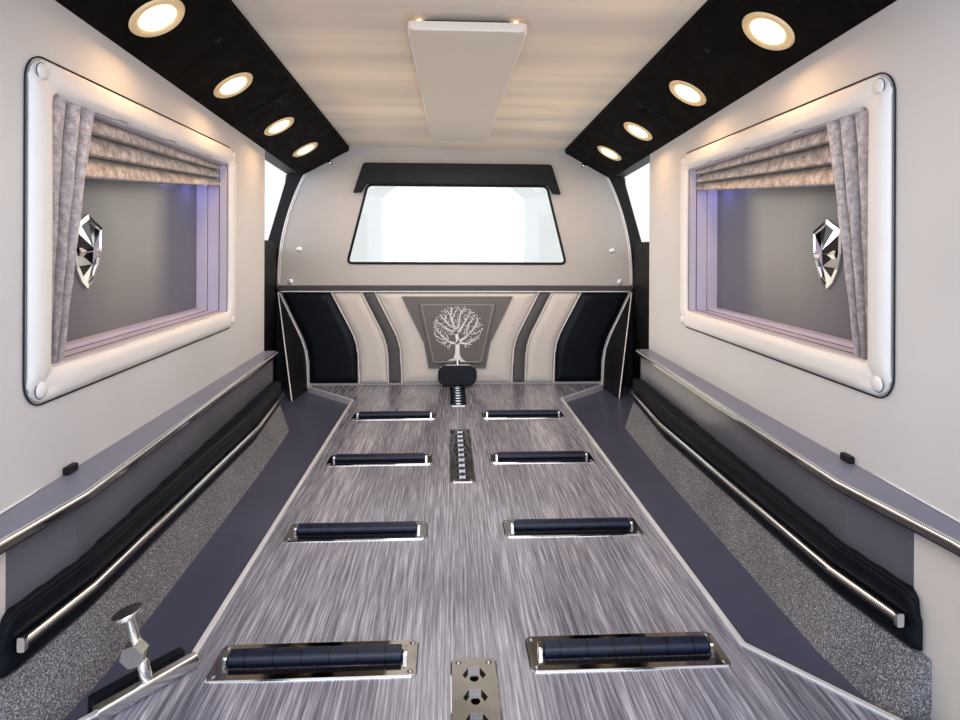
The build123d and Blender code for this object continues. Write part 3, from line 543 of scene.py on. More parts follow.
def newPiece(name, points, faces, finishName, smooth=True):
    mesh = bpy.data.meshes.new(name)
    mesh.from_pydata([tuple(point) for point in points], [], faces)
    mesh.polygons.foreach_set("use_smooth", [smooth] * len(mesh.polygons))
    mesh.materials.append(finishes[finishName])
    return link(name, mesh)


def withTwin(right):
    # a piece of the right side and the same piece mirrored to the left
    mesh = right.data.copy()
    mesh.transform(Matrix.Scale(-1, 4, (1, 0, 0)))
    mesh.flip_normals()
    return right, link(right.name.replace("right", "left"), mesh)


def slotBoth(slot, *rightPieces):
    for right in rightPieces:
        for piece in withTwin(right):
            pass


def gridFaces(rows, columns, ring=False, start=0):
    # quads of a grid stored row by row; ring also joins the last column to the first
    faces = []
    for row in range(rows - 1):
        for column in range(columns if ring else columns - 1):
            beside = (column + 1) % columns
            low, high = start + row * columns, start + (row + 1) * columns
            faces.append((low + column, low + beside, high + beside, high + column))
    return faces


def tubeFaces(rows, columns, start=0):
    # rings joined to a tube, with a cap on the first and the last
    last = start + (rows - 1) * columns
    return gridFaces(rows, columns, True, start) + [tuple(start + column for column in reversed(range(columns))),
                                                    tuple(last + column for column in range(columns))]


def ringPoints(centre, side, other, radius, sides):
    # points of a circle in the plane of two directions
    turns = [2 * math.pi * step / sides for step in range(sides)]
    return [centre + side * math.cos(turn) * radius + other * math.sin(turn) * radius for turn in turns]


def tubes(name, paths, radius, finishName, sides=8):
    # round cords along open paths, as one piece
    points, faces = [], []
    for path in paths:
        start = len(points)
        side = None
        for index, point in enumerate(path):
            ahead = path[min(index + 1, len(path) - 1)] - path[max(index - 1, 0)]
            ahead.normalize()
            if side is None:
                side = ahead.orthogonal().normalized()
            side = (side - ahead * side.dot(ahead)).normalized()
            points += ringPoints(point, side, ahead.cross(side), radius, sides)
        faces += tubeFaces(len(path), sides, start)
    return newPiece(name, points, faces, finishName)


def turned(name, spots, profile, finishName, sides=20):
    # turned shapes: each spot is a foot and the direction that it faces, and a profile gives (radius, height)
    points, faces = [], []
    for foot, facing in spots:
        start = len(points)
        facing = Vector(facing).normalized()
        side = facing.orthogonal().normalized()
        other = facing.cross(side)
        for radius, height in profile:
            points += ringPoints(foot + facing * height, side, other, radius, sides)
        faces += gridFaces(len(profile), sides, True, start)
        faces.append(tuple(start + (len(profile) - 1) * sides + step for step in range(sides)))
    return newPiece(name, points, faces, finishName)


def domeProfile(radius, height):
    steps = [0, 18, 36, 54, 70, 82]
    return [(radius * math.cos(math.radians(turn)), height * math.sin(math.radians(turn))) for turn in steps]


def declarePad(piece, node):
    # smooths a padded piece and hides the imported node that it stands for
    modifier = piece.modifiers.new("smooth", "SUBSURF")
    modifier.levels = modifier.render_levels = 1
    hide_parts(node)


# Padding: a remeshed copy of the form swells under pressure, while its back stays on the board

swelling = {"voxel": 0.0050, "panelVoxel": 0.0062, "pressure": 4.0, "frames": 18, "soften": 5}


def swell(piece, isHeld, cap, voxel=swelling["voxel"]):
    scene = bpy.context.scene
    remesh = piece.modifiers.new("remesh", "REMESH")
    remesh.mode = "VOXEL"
    remesh.voxel_size = voxel
    bakeModifiers(piece)
    start = [vertex.co.copy() for vertex in piece.data.vertices]
    held = piece.vertex_groups.new(name="held")
    held.add([index for index, point in enumerate(start) if isHeld(point)], 1.0, "REPLACE")
    cloth = piece.modifiers.new("cloth", "CLOTH")
    cloth.settings.quality = 5
    cloth.settings.vertex_group_mass = "held"
    cloth.settings.use_pressure = True
    cloth.settings.uniform_pressure_force = swelling["pressure"]
    cloth.settings.effector_weights.gravity = 0
    for step in range(1, swelling["frames"] + 1):
        scene.frame_set(step)
    bakeModifiers(piece)
    for vertex, before in zip(piece.data.vertices, start):
        moved = vertex.co - before
        if moved.length > cap:
            vertex.co = before + moved * (cap / moved.length)
    scene.frame_set(1)
    piece.vertex_groups.clear()
    soften = piece.modifiers.new("soften", "SMOOTH")
    soften.factor = 0.5
    soften.iterations = swelling["soften"]
    bakeModifiers(piece)


def bakeModifiers(piece):
    # keeps the shape that the modifiers give, without the modifiers
    depsgraph = bpy.context.evaluated_depsgraph_get()
    mesh = bpy.data.meshes.new_from_object(piece.evaluated_get(depsgraph))
    piece.modifiers.clear()
    piece.data = mesh
    mesh.polygons.foreach_set("use_smooth", [True] * len(mesh.polygons))


# Window surrounds: a puffed ring with a button that pulls the vinyl in at each corner

# the last two radii are of the thin cords painted as shadow round the outer edge and round the buttons
surround = {"start": 0.807, "length": 0.741, "low": 0.407, "high": 0.794, "band": 0.050, "proud": 0.0125,
            "outerRound": 0.038, "innerRound": 0.009, "buttonInset": 0.027, "buttonRadius": 0.0120,
            "dimple": 0.0060, "dimpleWidth": 0.017, "cap": 0.0018, "shadowLine": 0.0012, "ring": 0.0007}
surroundMiddle = (surround["start"] + surround["length"] / 2, (surround["low"] + surround["high"]) / 2)


def roundedLoop(halfLength, halfHeight, radius, cornerSteps=9, sideSteps=16):
    # points round a rectangle with rounded corners, as (along, up) from its middle
    arcs = []
    for corner, (alongSign, upSign) in enumerate([(1, 1), (-1, 1), (-1, -1), (1, -1)]):
        centre = (alongSign * (halfLength - radius), upSign * (halfHeight - radius))
        turns = [math.radians(90 * (corner + step / cornerSteps)) for step in range(cornerSteps + 1)]
        arcs.append([(centre[0] + radius * math.cos(turn), centre[1] + radius * math.sin(turn)) for turn in turns])
    loop = []
    for arc, following in zip(arcs, arcs[1:] + arcs[:1]):
        (along, up), (nextAlong, nextUp) = arc[-1], following[0]
        side = list(zip(evenly(along, nextAlong, sideSteps), evenly(up, nextUp, sideSteps)))
        loop += arc + side[1:-1]
    return loop


def surroundButtons():
    # middle of each button as (along, up)
    reachAlong = surround["length"] / 2 + surround["buttonInset"]
    reachUp = (surround["high"] - surround["low"]) / 2 + surround["buttonInset"]
    return [(surroundMiddle[0] + a * reachAlong, surroundMiddle[1] + b * reachUp)
            for a in (-1, 1) for b in (-1, 1)]


def addSurrounds():
    halfLength, halfHeight = surround["length"] / 2, (surround["high"] - surround["low"]) / 2
    inner = roundedLoop(halfLength, halfHeight, surround["innerRound"])
    outer = roundedLoop(halfLength + surround["band"], halfHeight + surround["band"], surround["outerRound"])
    shares = [0, 0.03, 0.1, 0.22, 0.36, 0.5, 0.64, 0.78, 0.9, 0.97, 1]
    points = []
    for (innerAlong, innerUp), (outerAlong, outerUp) in zip(inner, outer):
        for share in shares + [0.75, 0.25]:
            isFront = share in shares
            lift = surround["proud"] * (1 - abs(2 * share - 1) ** 4.6) ** 0.5 if isFront else 0
            points.append(onWall(-0.0005 - lift,
                                 surroundMiddle[0] + innerAlong + (outerAlong - innerAlong) * share,
                                 surroundMiddle[1] + innerUp + (outerUp - innerUp) * share))
    columns = len(shares) + 2
    faces = gridFaces(len(inner), columns, True)
    last = (len(inner) - 1) * columns
    faces += [(last + column, last + (column + 1) % columns, (column + 1) % columns, column)
              for column in range(columns)]
    right = newPiece("surround_right", points, faces, "frameVinyl")
    swell(right, lambda point: outAlongUp(point)[0] > -0.0025, surround["cap"])
    pullIn(right)
    for piece in withTwin(right):
        declarePad(piece, "window_frames")
    addSurroundTrim(outer)


def pullIn(piece):
    # the vinyl sinks at each button, with small radial gathers
    inward = onWall(1, 0, 0) - onWall(0, 0, 0)
    for vertex in piece.data.vertices:
        out, along, up = outAlongUp(vertex.co)
        if out > -0.003:
            continue
        for buttonAlong, buttonUp in surroundButtons():
            away = math.hypot(along - buttonAlong, up - buttonUp)
            turn = math.atan2(up - buttonUp, along - buttonAlong)
            sink = surround["dimple"] * math.exp(-(away / surround["dimpleWidth"]) ** 2)
            gather = 0.0009 * math.cos(7 * turn) * math.exp(-((away - 0.02) / 0.014) ** 2)
            vertex.co += inward * (sink + gather)


def addSurroundTrim(outer):
    spots = [(onWall(-0.0095, along, up), onWall(-1, 0, 0) - onWall(0, 0, 0)) for along, up in surroundButtons()]
    buttons = turned("surround_buttons_right", spots, domeProfile(surround["buttonRadius"], 0.005), "frameVinyl")
    # a thin dark cord round the outer edge: a painted shadow line where the padding meets the wall
    loop = [onWall(-0.0016, surroundMiddle[0] + along * 1.001, surroundMiddle[1] + up * 1.001)
            for along, up in outer]
    across, rise = onWall(0, 1, 0) - onWall(0, 0, 0), Vector((0, 0, 1))
    # a thin grey ring at the foot of each button: painted shadow round it
    shadowRings = [ringPoints(foot, across, rise, surround["buttonRadius"] * 1.02, 24) for foot, facing in spots]
    shadowRings = [ring + ring[:1] for ring in shadowRings]
    slotBoth("cream_vinyl", buttons)
    slotBoth("grey_vinyl", tubes("button_rings_right", shadowRings, surround["ring"], "greyVinyl", 6))
    slotBoth("black_plastic", tubes("surround_seam_right", [loop + loop[:1]], surround["shadowLine"], "blackPlastic", 6))


# thin dark cords in the reveal, painted shadow at the joints where the board meets the window box and at the box's step
reveal = {"joints": (0.018, 0.048), "radius": 0.0011}


def addRevealShadowLines():
    paths = []
    near, far = surround["start"], surround["start"] + surround["length"]
    corners = [(near, surround["low"]), (far, surround["low"]), (far, surround["high"]), (near, surround["high"])]
    for out in reveal["joints"]:
        for index in (0, 1):
            (along0, up0), (along1, up1) = corners[index], corners[index + 1]
            paths.append([onWall(out, along, up)
                          for along, up in zip(evenly(along0, along1, 12), evenly(up0, up1, 12))])
    slotBoth("black_plastic", tubes("reveal_lines_right", paths, reveal["radius"], "blackPlastic", 6))


addSurrounds()
addRevealShadowLines()
print("window surrounds made")


# Curtains: a gathered side curtain and a swag of three pleats, both of crushed plush

drape = {"topWidth": 0.118, "footWidth": 0.046, "nearDrop": 0.117, "farDrop": 0.056, "pleats": 3,
         "depth": 0.015, "base": 0.011, "swagBase": 0.028, "lead": 0.05, "tuck": 0.004, "drop": 0.86}
# the flat cloth: the side curtain's height and the swag's length, with a tuck at both ends; the cuts aren't rectangles
curtainHeight = surround["high"] - surround["low"] + 2 * drape["tuck"]
swagLength = surround["length"] + 2 * drape["tuck"]


def pleat(share, count):
    # how far a knife pleat stands out: it rolls out slowly, then drops back under itself
    share = drape["lead"] + (1 - drape["lead"]) * share
    place = share * count - min(math.floor(share * count), count - 1)
    if place < drape["drop"]:
        return math.sin(math.pi / 2 * place / drape["drop"]) ** 0.75
    return math.cos(math.pi / 2 * min(1.0, (place - drape["drop"]) / (1 - drape["drop"]))) ** 0.8


def flutter(first, second):
    # small uneven folds, from -1 to 1
    return math.sin(first * 3.1 + second * 5.3) * 0.5 + math.sin(first * 7.7 - second * 2.9 + 1.3) * 0.3


def sideCurtainPoint(down, share):
    width = drape["topWidth"] + (drape["footWidth"] - drape["topWidth"]) * down ** 0.9
    depth = drape["depth"] * (1 - 0.45 * down)
    along = surround["start"] - drape["tuck"] + width * share + 0.0015 * flutter(down * 2, share * 2) * down
    out = drape["base"] - depth * pleat(share ** 1.2, drape["pleats"]) - 0.002 * share
    return onWall(out + 0.001 * flutter(share * 4, down * 5), along,
                  surround["high"] + drape["tuck"] - curtainHeight * down)


def swagPoint(share, along):
    drop = drape["nearDrop"] + (drape["farDrop"] - drape["nearDrop"]) * along ** 0.85
    sag = 0.004 * math.sin(math.pi * along) * share
    out = drape["swagBase"] - drape["depth"] * pleat(share, drape["pleats"]) * (1.05 - 0.3 * along)
    return onWall(out + 0.0012 * flutter(along * 9, share * 3),
                  surround["start"] - drape["tuck"] + swagLength * along,
                  surround["high"] + drape["tuck"] - (drop + drape["tuck"]) * share - sag)


def addCurtain(name, finishName, rows, columns, placeAt):
    # placeAt gives the point at a share of the rows and a share of the columns
    points = [placeAt(row / (rows - 1), column / (columns - 1)) for row in range(rows) for column in range(columns)]
    for curtain in withTwin(newPiece(name, points, gridFaces(rows, columns), finishName)):
        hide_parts("curtains")


addCurtain("side_curtain_right", "plush", 56, 85, sideCurtainPoint)
addCurtain("swag_right", "plushSwag", 79, 70, swagPoint)
print("curtains made")


# Bumper pads along the side panels: two rolls with the rail set in the groove between them

bumper = {"start": 0.648, "end": 1.878, "low": 0.0673, "high": 0.1453, "round": 0.012, "proud": 0.0065,
          "rail": 0.1033, "railHalf": 0.009, "groove": 0.006, "endRound": 0.014, "cap": 0.0016}
# the riser's top line and the panel's face, as (along, out of the wall)
riserTop = [(0.640, -0.048), (0.781, -0.069), (1.500, -0.086), (1.885, -0.058)]
panelFace = [(0.596, -0.031), (0.781, -0.056), (1.893, -0.033)]


def rolled(distance, roll):
    # height of a soft edge at a distance from it, from 0 to 1
    share = min(1.0, max(0.0, distance / roll))
    return math.sqrt(max(0.0, 1 - (1 - share) ** 2))


def valueAt(line, place):
    for (start, low), (end, high) in zip(line, line[1:]):
        if place <= end:
            return low + (high - low) * (place - start) / (end - start)
    return line[-1][1]


def bumperSection(along):
    # points (out, up) round the pad at one place, from the back's foot over the front to the back's top
    front = valueAt(riserTop, along) - bumper["proud"]
    back = valueAt(panelFace, along) - 0.0005
    fade = rolled(along - bumper["start"], bumper["endRound"])
    low = bumper["low"] + 0.0005
    high = low + (bumper["high"] - low) * (0.5 + 0.5 * fade)
    section = []
    steps = 26
    for step in range(steps + 1):
        up = low + (high - low) * (0.5 - 0.5 * math.cos(math.pi * step / steps))
        recess = bumper["round"] * (1 - rolled(min(up - low, high - up), bumper["round"]))
        groove = bumper["groove"] * math.exp(-((up - bumper["rail"]) / bumper["railHalf"]) ** 2)
        out = front + recess + groove * fade
        section.append((back + (out - back) * (0.25 + 0.75 * fade), up))
    return section + [(back, high), (back, (low + high) / 2), (back, low)]


def addBumpers():
    rows = 72
    points = []
    for row in range(rows):
        along = bumper["start"] + (bumper["end"] - bumper["start"]) * (row / (rows - 1)) ** 1.25
        section = bumperSection(along)
        points += [onWall(out, along, up) for out, up in section]
    right = newPiece("bumper_right", points, tubeFaces(rows, len(section)), "blackVinyl")

    def isHeld(point):
        out, along, up = outAlongUp(point)
        return out > valueAt(panelFace, along) - 0.003 or abs(up - bumper["rail"]) < 0.007

    swell(right, isHeld, bumper["cap"])
    for piece in withTwin(right):
        declarePad(piece, "bumper_pads")


addBumpers()
print("bumpers made")


# Padded panels of the partition, between lines that bend once on their way up to the belt

panels = {"low": 0.001, "high": 0.390, "depth": 0.0115, "roll": 0.016, "gap": 0.0018, "cap": 0.0025,
          "bend": 0.175, "lean": 0.008, "blend": 0.055}
# foot and top of each line between two panels, as distances from the middle
panelLines = {"centre": (0.230, 0.347), "grey": (0.287, 0.404), "cream": (0.407, 0.527)}
boardEdge = {"foot": (0.620, -0.020), "bend": (0.627, 0.150), "belt": (0.749, 0.403), "blend": 0.065}


def bentLine(foot, bend, top, blend):
    # x of a line at one height: two straight runs with a smooth bend between them
    lower = (bend[0] - foot[0]) / (bend[1] - foot[1])
    upper = (top[0] - bend[0]) / (top[1] - bend[1])

    def at(up):
        past = up - bend[1]
        ramp = 0 if past < -blend else past if past > blend else (past + blend) ** 2 / (4 * blend)
        return bend[0] + lower * past + (upper - lower) * ramp
    return at


def panelLine(name):
    foot, top = panelLines[name]
    return bentLine((foot, panels["low"]), (foot + panels["lean"], panels["bend"]), (top, panels["high"]),
                    panels["blend"])


boardLine = bentLine(boardEdge["foot"], boardEdge["bend"], boardEdge["belt"], boardEdge["blend"])


def padRegion(points, faces, inner, outer, mirrorSign):
    # adds the face and the back of one panel between two lines
    rows, columns = 60, 26
    start = len(points)
    span = panels["high"] - panels["low"] - 2 * panels["gap"]
    for side in ("front", "back"):
        for row in range(rows):
            up = panels["low"] + panels["gap"] + span * (0.5 - 0.5 * math.cos(math.pi * row / (rows - 1)))
            low, high = inner(up) + panels["gap"], outer(up) - panels["gap"]
            for column in range(columns):
                share = 0.5 - 0.5 * math.cos(math.pi * column / (columns - 1))
                x = low + (high - low) * share
                edge = rolled(min(x - low, high - x), panels["roll"])
                ends = rolled(min(up - panels["low"], panels["high"] - up) - panels["gap"], panels["roll"])
                proud = panels["depth"] * edge * ends if side == "front" else 0
                points.append(onPartition(x * mirrorSign, 0.0005 + proud, up))
    faces += gridFaces(rows, columns, False, start)
    faces += [tuple(reversed(face)) for face in gridFaces(rows, columns, False, start + rows * columns)]


def addPads(name, node, regions, finishName):
    points, faces = [], []
    for inner, outer, mirrorSign in regions:
        padRegion(points, faces, inner, outer, mirrorSign)
    piece = newPiece(name, points, faces, finishName)
    build = bmesh.new()
    build.from_mesh(piece.data)
    bmesh.ops.remove_doubles(build, verts=build.verts, dist=0.00001)
    bmesh.ops.recalc_face_normals(build, faces=build.faces)
    build.to_mesh(piece.data)
    build.free()
    swell(piece, lambda point: point.y > partitionFace - 0.0025, panels["cap"], swelling["panelVoxel"])
    declarePad(piece, node)


centreLine, greyLine, creamLine = panelLine("centre"), panelLine("grey"), panelLine("cream")


def insetBoardLine(up):
    return boardLine(up) - 0.004


addPads("cream_pads", "cream_panels",
        [(lambda up: -centreLine(up), centreLine, 1)] + [(greyLine, creamLine, sign) for sign in bothSides],
        "creamVinyl")
addPads("grey_pads", "grey_stripes", [(centreLine, greyLine, sign) for sign in bothSides], "stripeVinyl")
addPads("black_pads", "black_panels", [(creamLine, insetBoardLine, sign) for sign in bothSides],
        "blackVinyl")
print("partition pads made")


# White piping: between the panels, under the belt, round the partition's edges and on the wings

piping = {"radius": 0.0022, "seamProud": 0.0095, "edgeInset": 0.004, "beltUp": 0.3895, "beltProud": 0.0145,
          "steps": 40}
# the upper edge of the board, as three points (x, up) of an arc
roofArc = [(0.749, 0.403), (0.728, 0.640), (0.640, 0.884)]
wing = {"foot": (0.634, 0.194), "top": (0.740, 0.008), "low": -0.019, "high": 0.385}


def arcThrough(first, second, third, steps):
    # points of the circle through three points, from the first to the third, worked out as complex numbers
    begin, middle, end = (complex(*point) for point in (first, second, third))
    share = (end - begin) / (middle - begin)
    centre = begin + (middle - begin) * (share - abs(share) ** 2) / (2j * share.imag)
    turns = evenly(cmath.phase(begin - centre), cmath.phase(end - centre), steps)
    places = [centre + cmath.rect(abs(begin - centre), turn) for turn in turns]
    return [(place.real, place.imag) for place in places]


def mirroredPaths(path):
    return [path, [Vector((-point.x, point.y, point.z)) for point in path]]


def addPiping():
    paths = []
    for line in (centreLine, greyLine, creamLine):
        paths += mirroredPaths([onPartition(line(up), piping["seamProud"], up)
                                for up in evenly(panels["low"] + 0.004, panels["high"] - 0.003, piping["steps"])])
    belt = boardLine(piping["beltUp"]) - 0.010
    paths.append([onPartition(x, piping["beltProud"], piping["beltUp"]) for x in evenly(-belt, belt, 60)])
    for inset in (piping["edgeInset"], piping["edgeInset"] + 0.007):
        arc = arcThrough(*roofArc, piping["steps"])
        paths += mirroredPaths([onPartition(x - inset, 0.0012, up) for x, up in arc[1:]])
    free, fixed = [], []
    for up in evenly(wing["low"], wing["high"], piping["steps"]):
        share = (up - wing["low"]) / (wing["high"] - wing["low"])
        x = wing["foot"][0] + (wing["top"][0] - wing["foot"][0]) * share
        back = wing["foot"][1] + (wing["top"][1] - wing["foot"][1]) * share
        free.append(onPartition(x + 0.003, back, up))
        fixed.append(onPartition(boardLine(up) + 0.0015, 0.0022, up))
    paths += mirroredPaths(free) + mirroredPaths(fixed)
    tubes("white_piping", paths, piping["radius"], "pipingWhite", 8)


addPiping()


# Cab window: a black rubber gasket round its outline

gasket = {"low": 0.507, "high": 0.835, "sillHalf": 0.460, "headHalf": 0.378, "round": 0.022, "radius": 0.0055}


def gasketPath():
    corners = [(-gasket["sillHalf"], gasket["low"]), (gasket["sillHalf"], gasket["low"]),
               (gasket["headHalf"], gasket["high"]), (-gasket["headHalf"], gasket["high"])]
    path = []
    for index, corner in enumerate(corners):
        before, after = Vector(corners[index - 1]), Vector(corners[(index + 1) % 4])
        middle = Vector(corner)
        start = middle + (before - middle).normalized() * gasket["round"]
        end = middle + (after - middle).normalized() * gasket["round"]
        for step in range(9):
            share = step / 8
            path.append(start * (1 - share) ** 2 + middle * 2 * share * (1 - share) + end * share ** 2)
    return [onPartition(point[0], 0.001, point[1]) for point in path + path[:1]]


tubes("window_gasket", [gasketPath()], gasket["radius"], "blackPlastic", 10)
print("piping and gasket made")


# Bright rim round the stop pad

padRim = {"y": 1.1165, "up": 0.0513, "half": (0.0776, 0.0416), "round": 0.0336, "radius": 0.0017}


def addPadRim():
    loop = [Vector((x, padRim["y"], deckHeight + padRim["up"] + rise))
            for x, rise in roundedLoop(*padRim["half"], padRim["round"])]
    tubes("stop_pad_rim", [loop + loop[:1]], padRim["radius"], "trimChrome", 8)


addPadRim()


# Shields on the window backs: a rim round cut facets, with a bar across the middle

shield = {"out": 0.0727, "along": 1.034, "up": 0.569, "half": 0.046, "tall": 0.0675, "peak": 0.0138, "rim": 0.0062,
          "rimShare": 0.87}
# outline of the right half as shares of the half width and height, from the top to the tip
shieldOutline = [(0.0, 1.0), (0.56, 0.80), (1.0, 0.66), (0.97, 0.05), (0.74, -0.45), (0.40, -0.80), (0.0, -1.0)]


def onShield(across, rise, proud):
    return onWall(shield["out"] - proud, shield["along"] + across * shield["half"],
                  shield["up"] + rise * shield["tall"])


def addShields():
    loop = shieldOutline + [(-across, rise) for across, rise in reversed(shieldOutline[1:-1])]
    count, points = len(loop), []
    for share, proud in ((1.0, 0.0008), (0.99, 0.0045), (shield["rimShare"], shield["rim"]),
                         (shield["rimShare"] - 0.03, 0.0040)):
        points += [onShield(across * share, rise * share, proud) for across, rise in loop]
    faces = gridFaces(4, count, True)
    start = len(points)
    points += [onShield(0, 0.10, shield["peak"]), onShield(0, -0.34, shield["peak"] - 0.002)]
    inner = 3 * count
    facets = [(inner + index, inner + (index + 1) % count,
               start if loop[index][1] > 0 and loop[(index + 1) % count][1] > 0 else start + 1)
              for index in range(count)]
    # the two middles are joined by one facet on each side
    facets += [(inner + 3, start + 1, start), (inner + count - 3, start, start + 1)]
    right = newPiece("shield_right", points, faces + facets, "chrome", False)
    # every other facet gets the dark copy of the chrome, a painted dark reflection that makes the cuts read
    right.data.materials.append(finishes["paintedDarkFacet"])
    for face in right.data.polygons:
        face.material_index = 1 if face.index >= len(faces) and face.index % 2 else 0
    corners = [(-0.72, 0.10, 0.0075), (0.72, 0.10, 0.0075), (0.72, -0.12, 0.0075), (-0.72, -0.12, 0.0075)]
    crest = [(-0.70, -0.01, 0.0105), (0.0, 0.03, 0.0165), (0.70, -0.01, 0.0105)]
    bar = [onShield(*place) for place in corners + crest]
    barFaces = [(0, 1, 6, 5, 4), (3, 4, 5, 6, 2), (0, 4, 3), (1, 2, 6), (0, 3, 2, 1)]
    barRight = newPiece("shield_bar_right", bar, barFaces, "clampChrome", False)
    for piece in withTwin(right) + withTwin(barRight):
        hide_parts("shields")


addShields()
print("shields made")


# Plaque: a white tree of a plain design, grown from a seed, with a stitched line round it

tree = {"foot": (0.0, 0.100), "proud": 0.0276, "relief": 0.0012, "fork": 0.186, "crown": (0.0, 0.238, 0.103, 0.091),
        "buds": 260, "reach": 0.085, "near": 0.0052, "step": 0.0038, "twig": 0.0015, "thicken": 0.385, "flare": 0.064,
        "leaf": 0.0034, "seed": 11}
chance = random.Random(tree["seed"])


def slab(points, faces, outline):
    # adds one flat shape with thin sides, from its outline as (x, up)
    start, count = len(points), len(outline)
    points += [onPartition(x, tree["proud"] + tree["relief"], up) for x, up in outline]
    points += [onPartition(x, tree["proud"], up) for x, up in outline]
    faces.append(tuple(start + index for index in range(count)))
    for index in range(count):
        beside = (index + 1) % count
        faces.append((start + index, start + count + index, start + count + beside, start + beside))


def crownBuds():
    # buds spread evenly over the crown: each is the loneliest of a few tries
    crownX, crownUp, crownHalf, crownHeight = tree["crown"]
    buds = []
    while len(buds) < tree["buds"]:
        tries = []
        for attempt in range(14):
            x, up = chance.uniform(-1, 1), chance.uniform(-1, 1)
            if x * x + up * up < 1 and not (abs(x) < 0.30 and up < -0.30):
                spot = Vector((crownX + x * crownHalf, crownUp + up * crownHeight))
                tries.append((min([(spot - bud).length for bud in buds], default=1.0), len(tries), spot))
        if tries:
            buds.append(max(tries)[2])
    return buds


def grownJoints(buds):
    # the limbs grow in small steps, each towards the buds that it is nearest to
    joints, parents = [Vector(tree["foot"])], [0]
    while joints[-1].y < tree["fork"]:
        joints.append(joints[-1] + Vector((0.0004 * math.sin(len(joints)), tree["step"])))
        parents.append(len(joints) - 2)
    fork = len(joints) - 4
    holder = {number: min(range(fork, len(joints)), key=lambda index: (joints[index] - bud).length)
              for number, bud in enumerate(buds)}
    nearest = {number: (joints[holder[number]] - bud).length for number, bud in enumerate(buds)}
    for growth in range(80):
        pulls = {}
        for number in nearest:
            if tree["near"] < nearest[number] < tree["reach"]:
                index = holder[number]
                pulls[index] = pulls.get(index, Vector((0, 0))) + (buds[number] - joints[index]).normalized()
        fresh = []
        for index, pull in pulls.items():
            if pull.length > 0.2:
                fresh.append(len(joints))
                joints.append(joints[index] + pull.normalized() * tree["step"])
                parents.append(index)
        for number, bud in enumerate(buds):
            for index in fresh:
                away = (joints[index] - bud).length
                if away < nearest[number]:
                    nearest[number], holder[number] = away, index
        if not fresh:
            break
    return joints, parents


def leaves(points, faces, tip, count):
    for index in range(count):
        turn = chance.uniform(0, 2 * math.pi)
        reach = chance.uniform(0.2, 1.1) * tree["leaf"]
        size = tree["leaf"] * chance.uniform(0.55, 1.0)
        centre = tip + Vector((math.sin(turn), math.cos(turn))) * reach
        outline = []
        for step in range(8):
            fraction = 2 * math.pi * step / 8
            ahead, aside = size * math.cos(fraction), size * 0.42 * math.sin(fraction)
            outline.append((centre.x + math.sin(turn) * ahead + math.cos(turn) * aside,
                            centre.y + math.cos(turn) * ahead - math.sin(turn) * aside))
        slab(points, faces, outline[::-1])


def addTree():
    points, faces = [], []
    buds = crownBuds()
    joints, parents = grownJoints(buds)
    loads = [1] * len(joints)
    for index in range(len(joints) - 1, 0, -1):
        loads[parents[index]] += loads[index] * (0.55 if loads[index] == 1 else 1)
    widths = [tree["twig"] * (load ** tree["thicken"]) for load in loads]
    for index in range(1, len(joints)):
        here, before = joints[index], joints[parents[index]]
        ahead = (here - before).normalized()
        side = Vector((ahead.y, -ahead.x))
        flare = [tree["flare"] * math.exp(-(point.y - tree["foot"][1]) / 0.010) for point in (before, here)]
        low = min(widths[parents[index]], widths[index] * 1.25) + flare[0]
        high = widths[index] + flare[1]
        slab(points, faces, [tuple(before + side * low / 2), tuple(here + side * high / 2),
                             tuple(here - side * high / 2), tuple(before - side * low / 2)])
    for bud in buds:
        leaves(points, faces, bud, 2)
    newPiece("plaque_tree", points, faces, "treeWhite", False)


addTree()
stitchLine = {"foot": (0.097, 0.097), "top": (0.150, 0.335), "proud": 0.0272, "length": 0.006, "radius": 0.0007}


def addStitches():
    corners = [Vector((-stitchLine["foot"][0], stitchLine["foot"][1])), Vector(stitchLine["foot"]),
               Vector(stitchLine["top"]), Vector((-stitchLine["top"][0], stitchLine["top"][1]))]
    paths = []
    for index, corner in enumerate(corners):
        run = corners[(index + 1) % 4] - corner
        count = int(run.length / (stitchLine["length"] * 1.5))
        for stitch in range(count):
            start = corner + run * (stitch / count)
            end = start + run.normalized() * stitchLine["length"]
            middle = (start + end) / 2
            paths.append([onPartition(start.x, stitchLine["proud"] - 0.0004, start.y),
                          onPartition(middle.x, stitchLine["proud"] + 0.0003, middle.y),
                          onPartition(end.x, stitchLine["proud"] - 0.0004, end.y)])
    tubes("plaque_stitches", paths, stitchLine["radius"], "pipingWhite", 5)


addStitches()
print("plaque made")


# Fasteners: buttons and hooks on the partition, screws in the plates

studs = {"radius": 0.0120, "height": 0.0075, "places": [(0.658, 0.563), (0.694, 0.429)]}
hooks = {"x": 0.532, "up": 0.924, "radius": 0.009}
screws = {"radius": 0.0042, "height": 0.0012, "plateAlong": 0.132, "plateAcross": 0.029, "bierAcross": 0.021,
          "bierInset": 0.011}
# rear and front end of each bier plate
bierEnds = [(-0.930, -0.496), (0.131, 0.555), (0.831, 1.175)]


def addStuds():
    spots = [(onPartition(sign * x, 0.0, up), (0, -1, 0)) for x, up in studs["places"] for sign in bothSides]
    turned("partition_studs", spots, domeProfile(studs["radius"], studs["height"]), "brightEdge")
    spots = [(onPartition(sign * hooks["x"], 0.0, hooks["up"]), (0, -1, 0)) for sign in bothSides]
    profile = [(hooks["radius"], 0), (hooks["radius"], 0.003), (0.005, 0.004), (0.0042, 0.014), (0.0075, 0.018),
               (0.0075, 0.021), (0.004, 0.023)]
    turned("coat_hooks", spots, profile, "chrome")


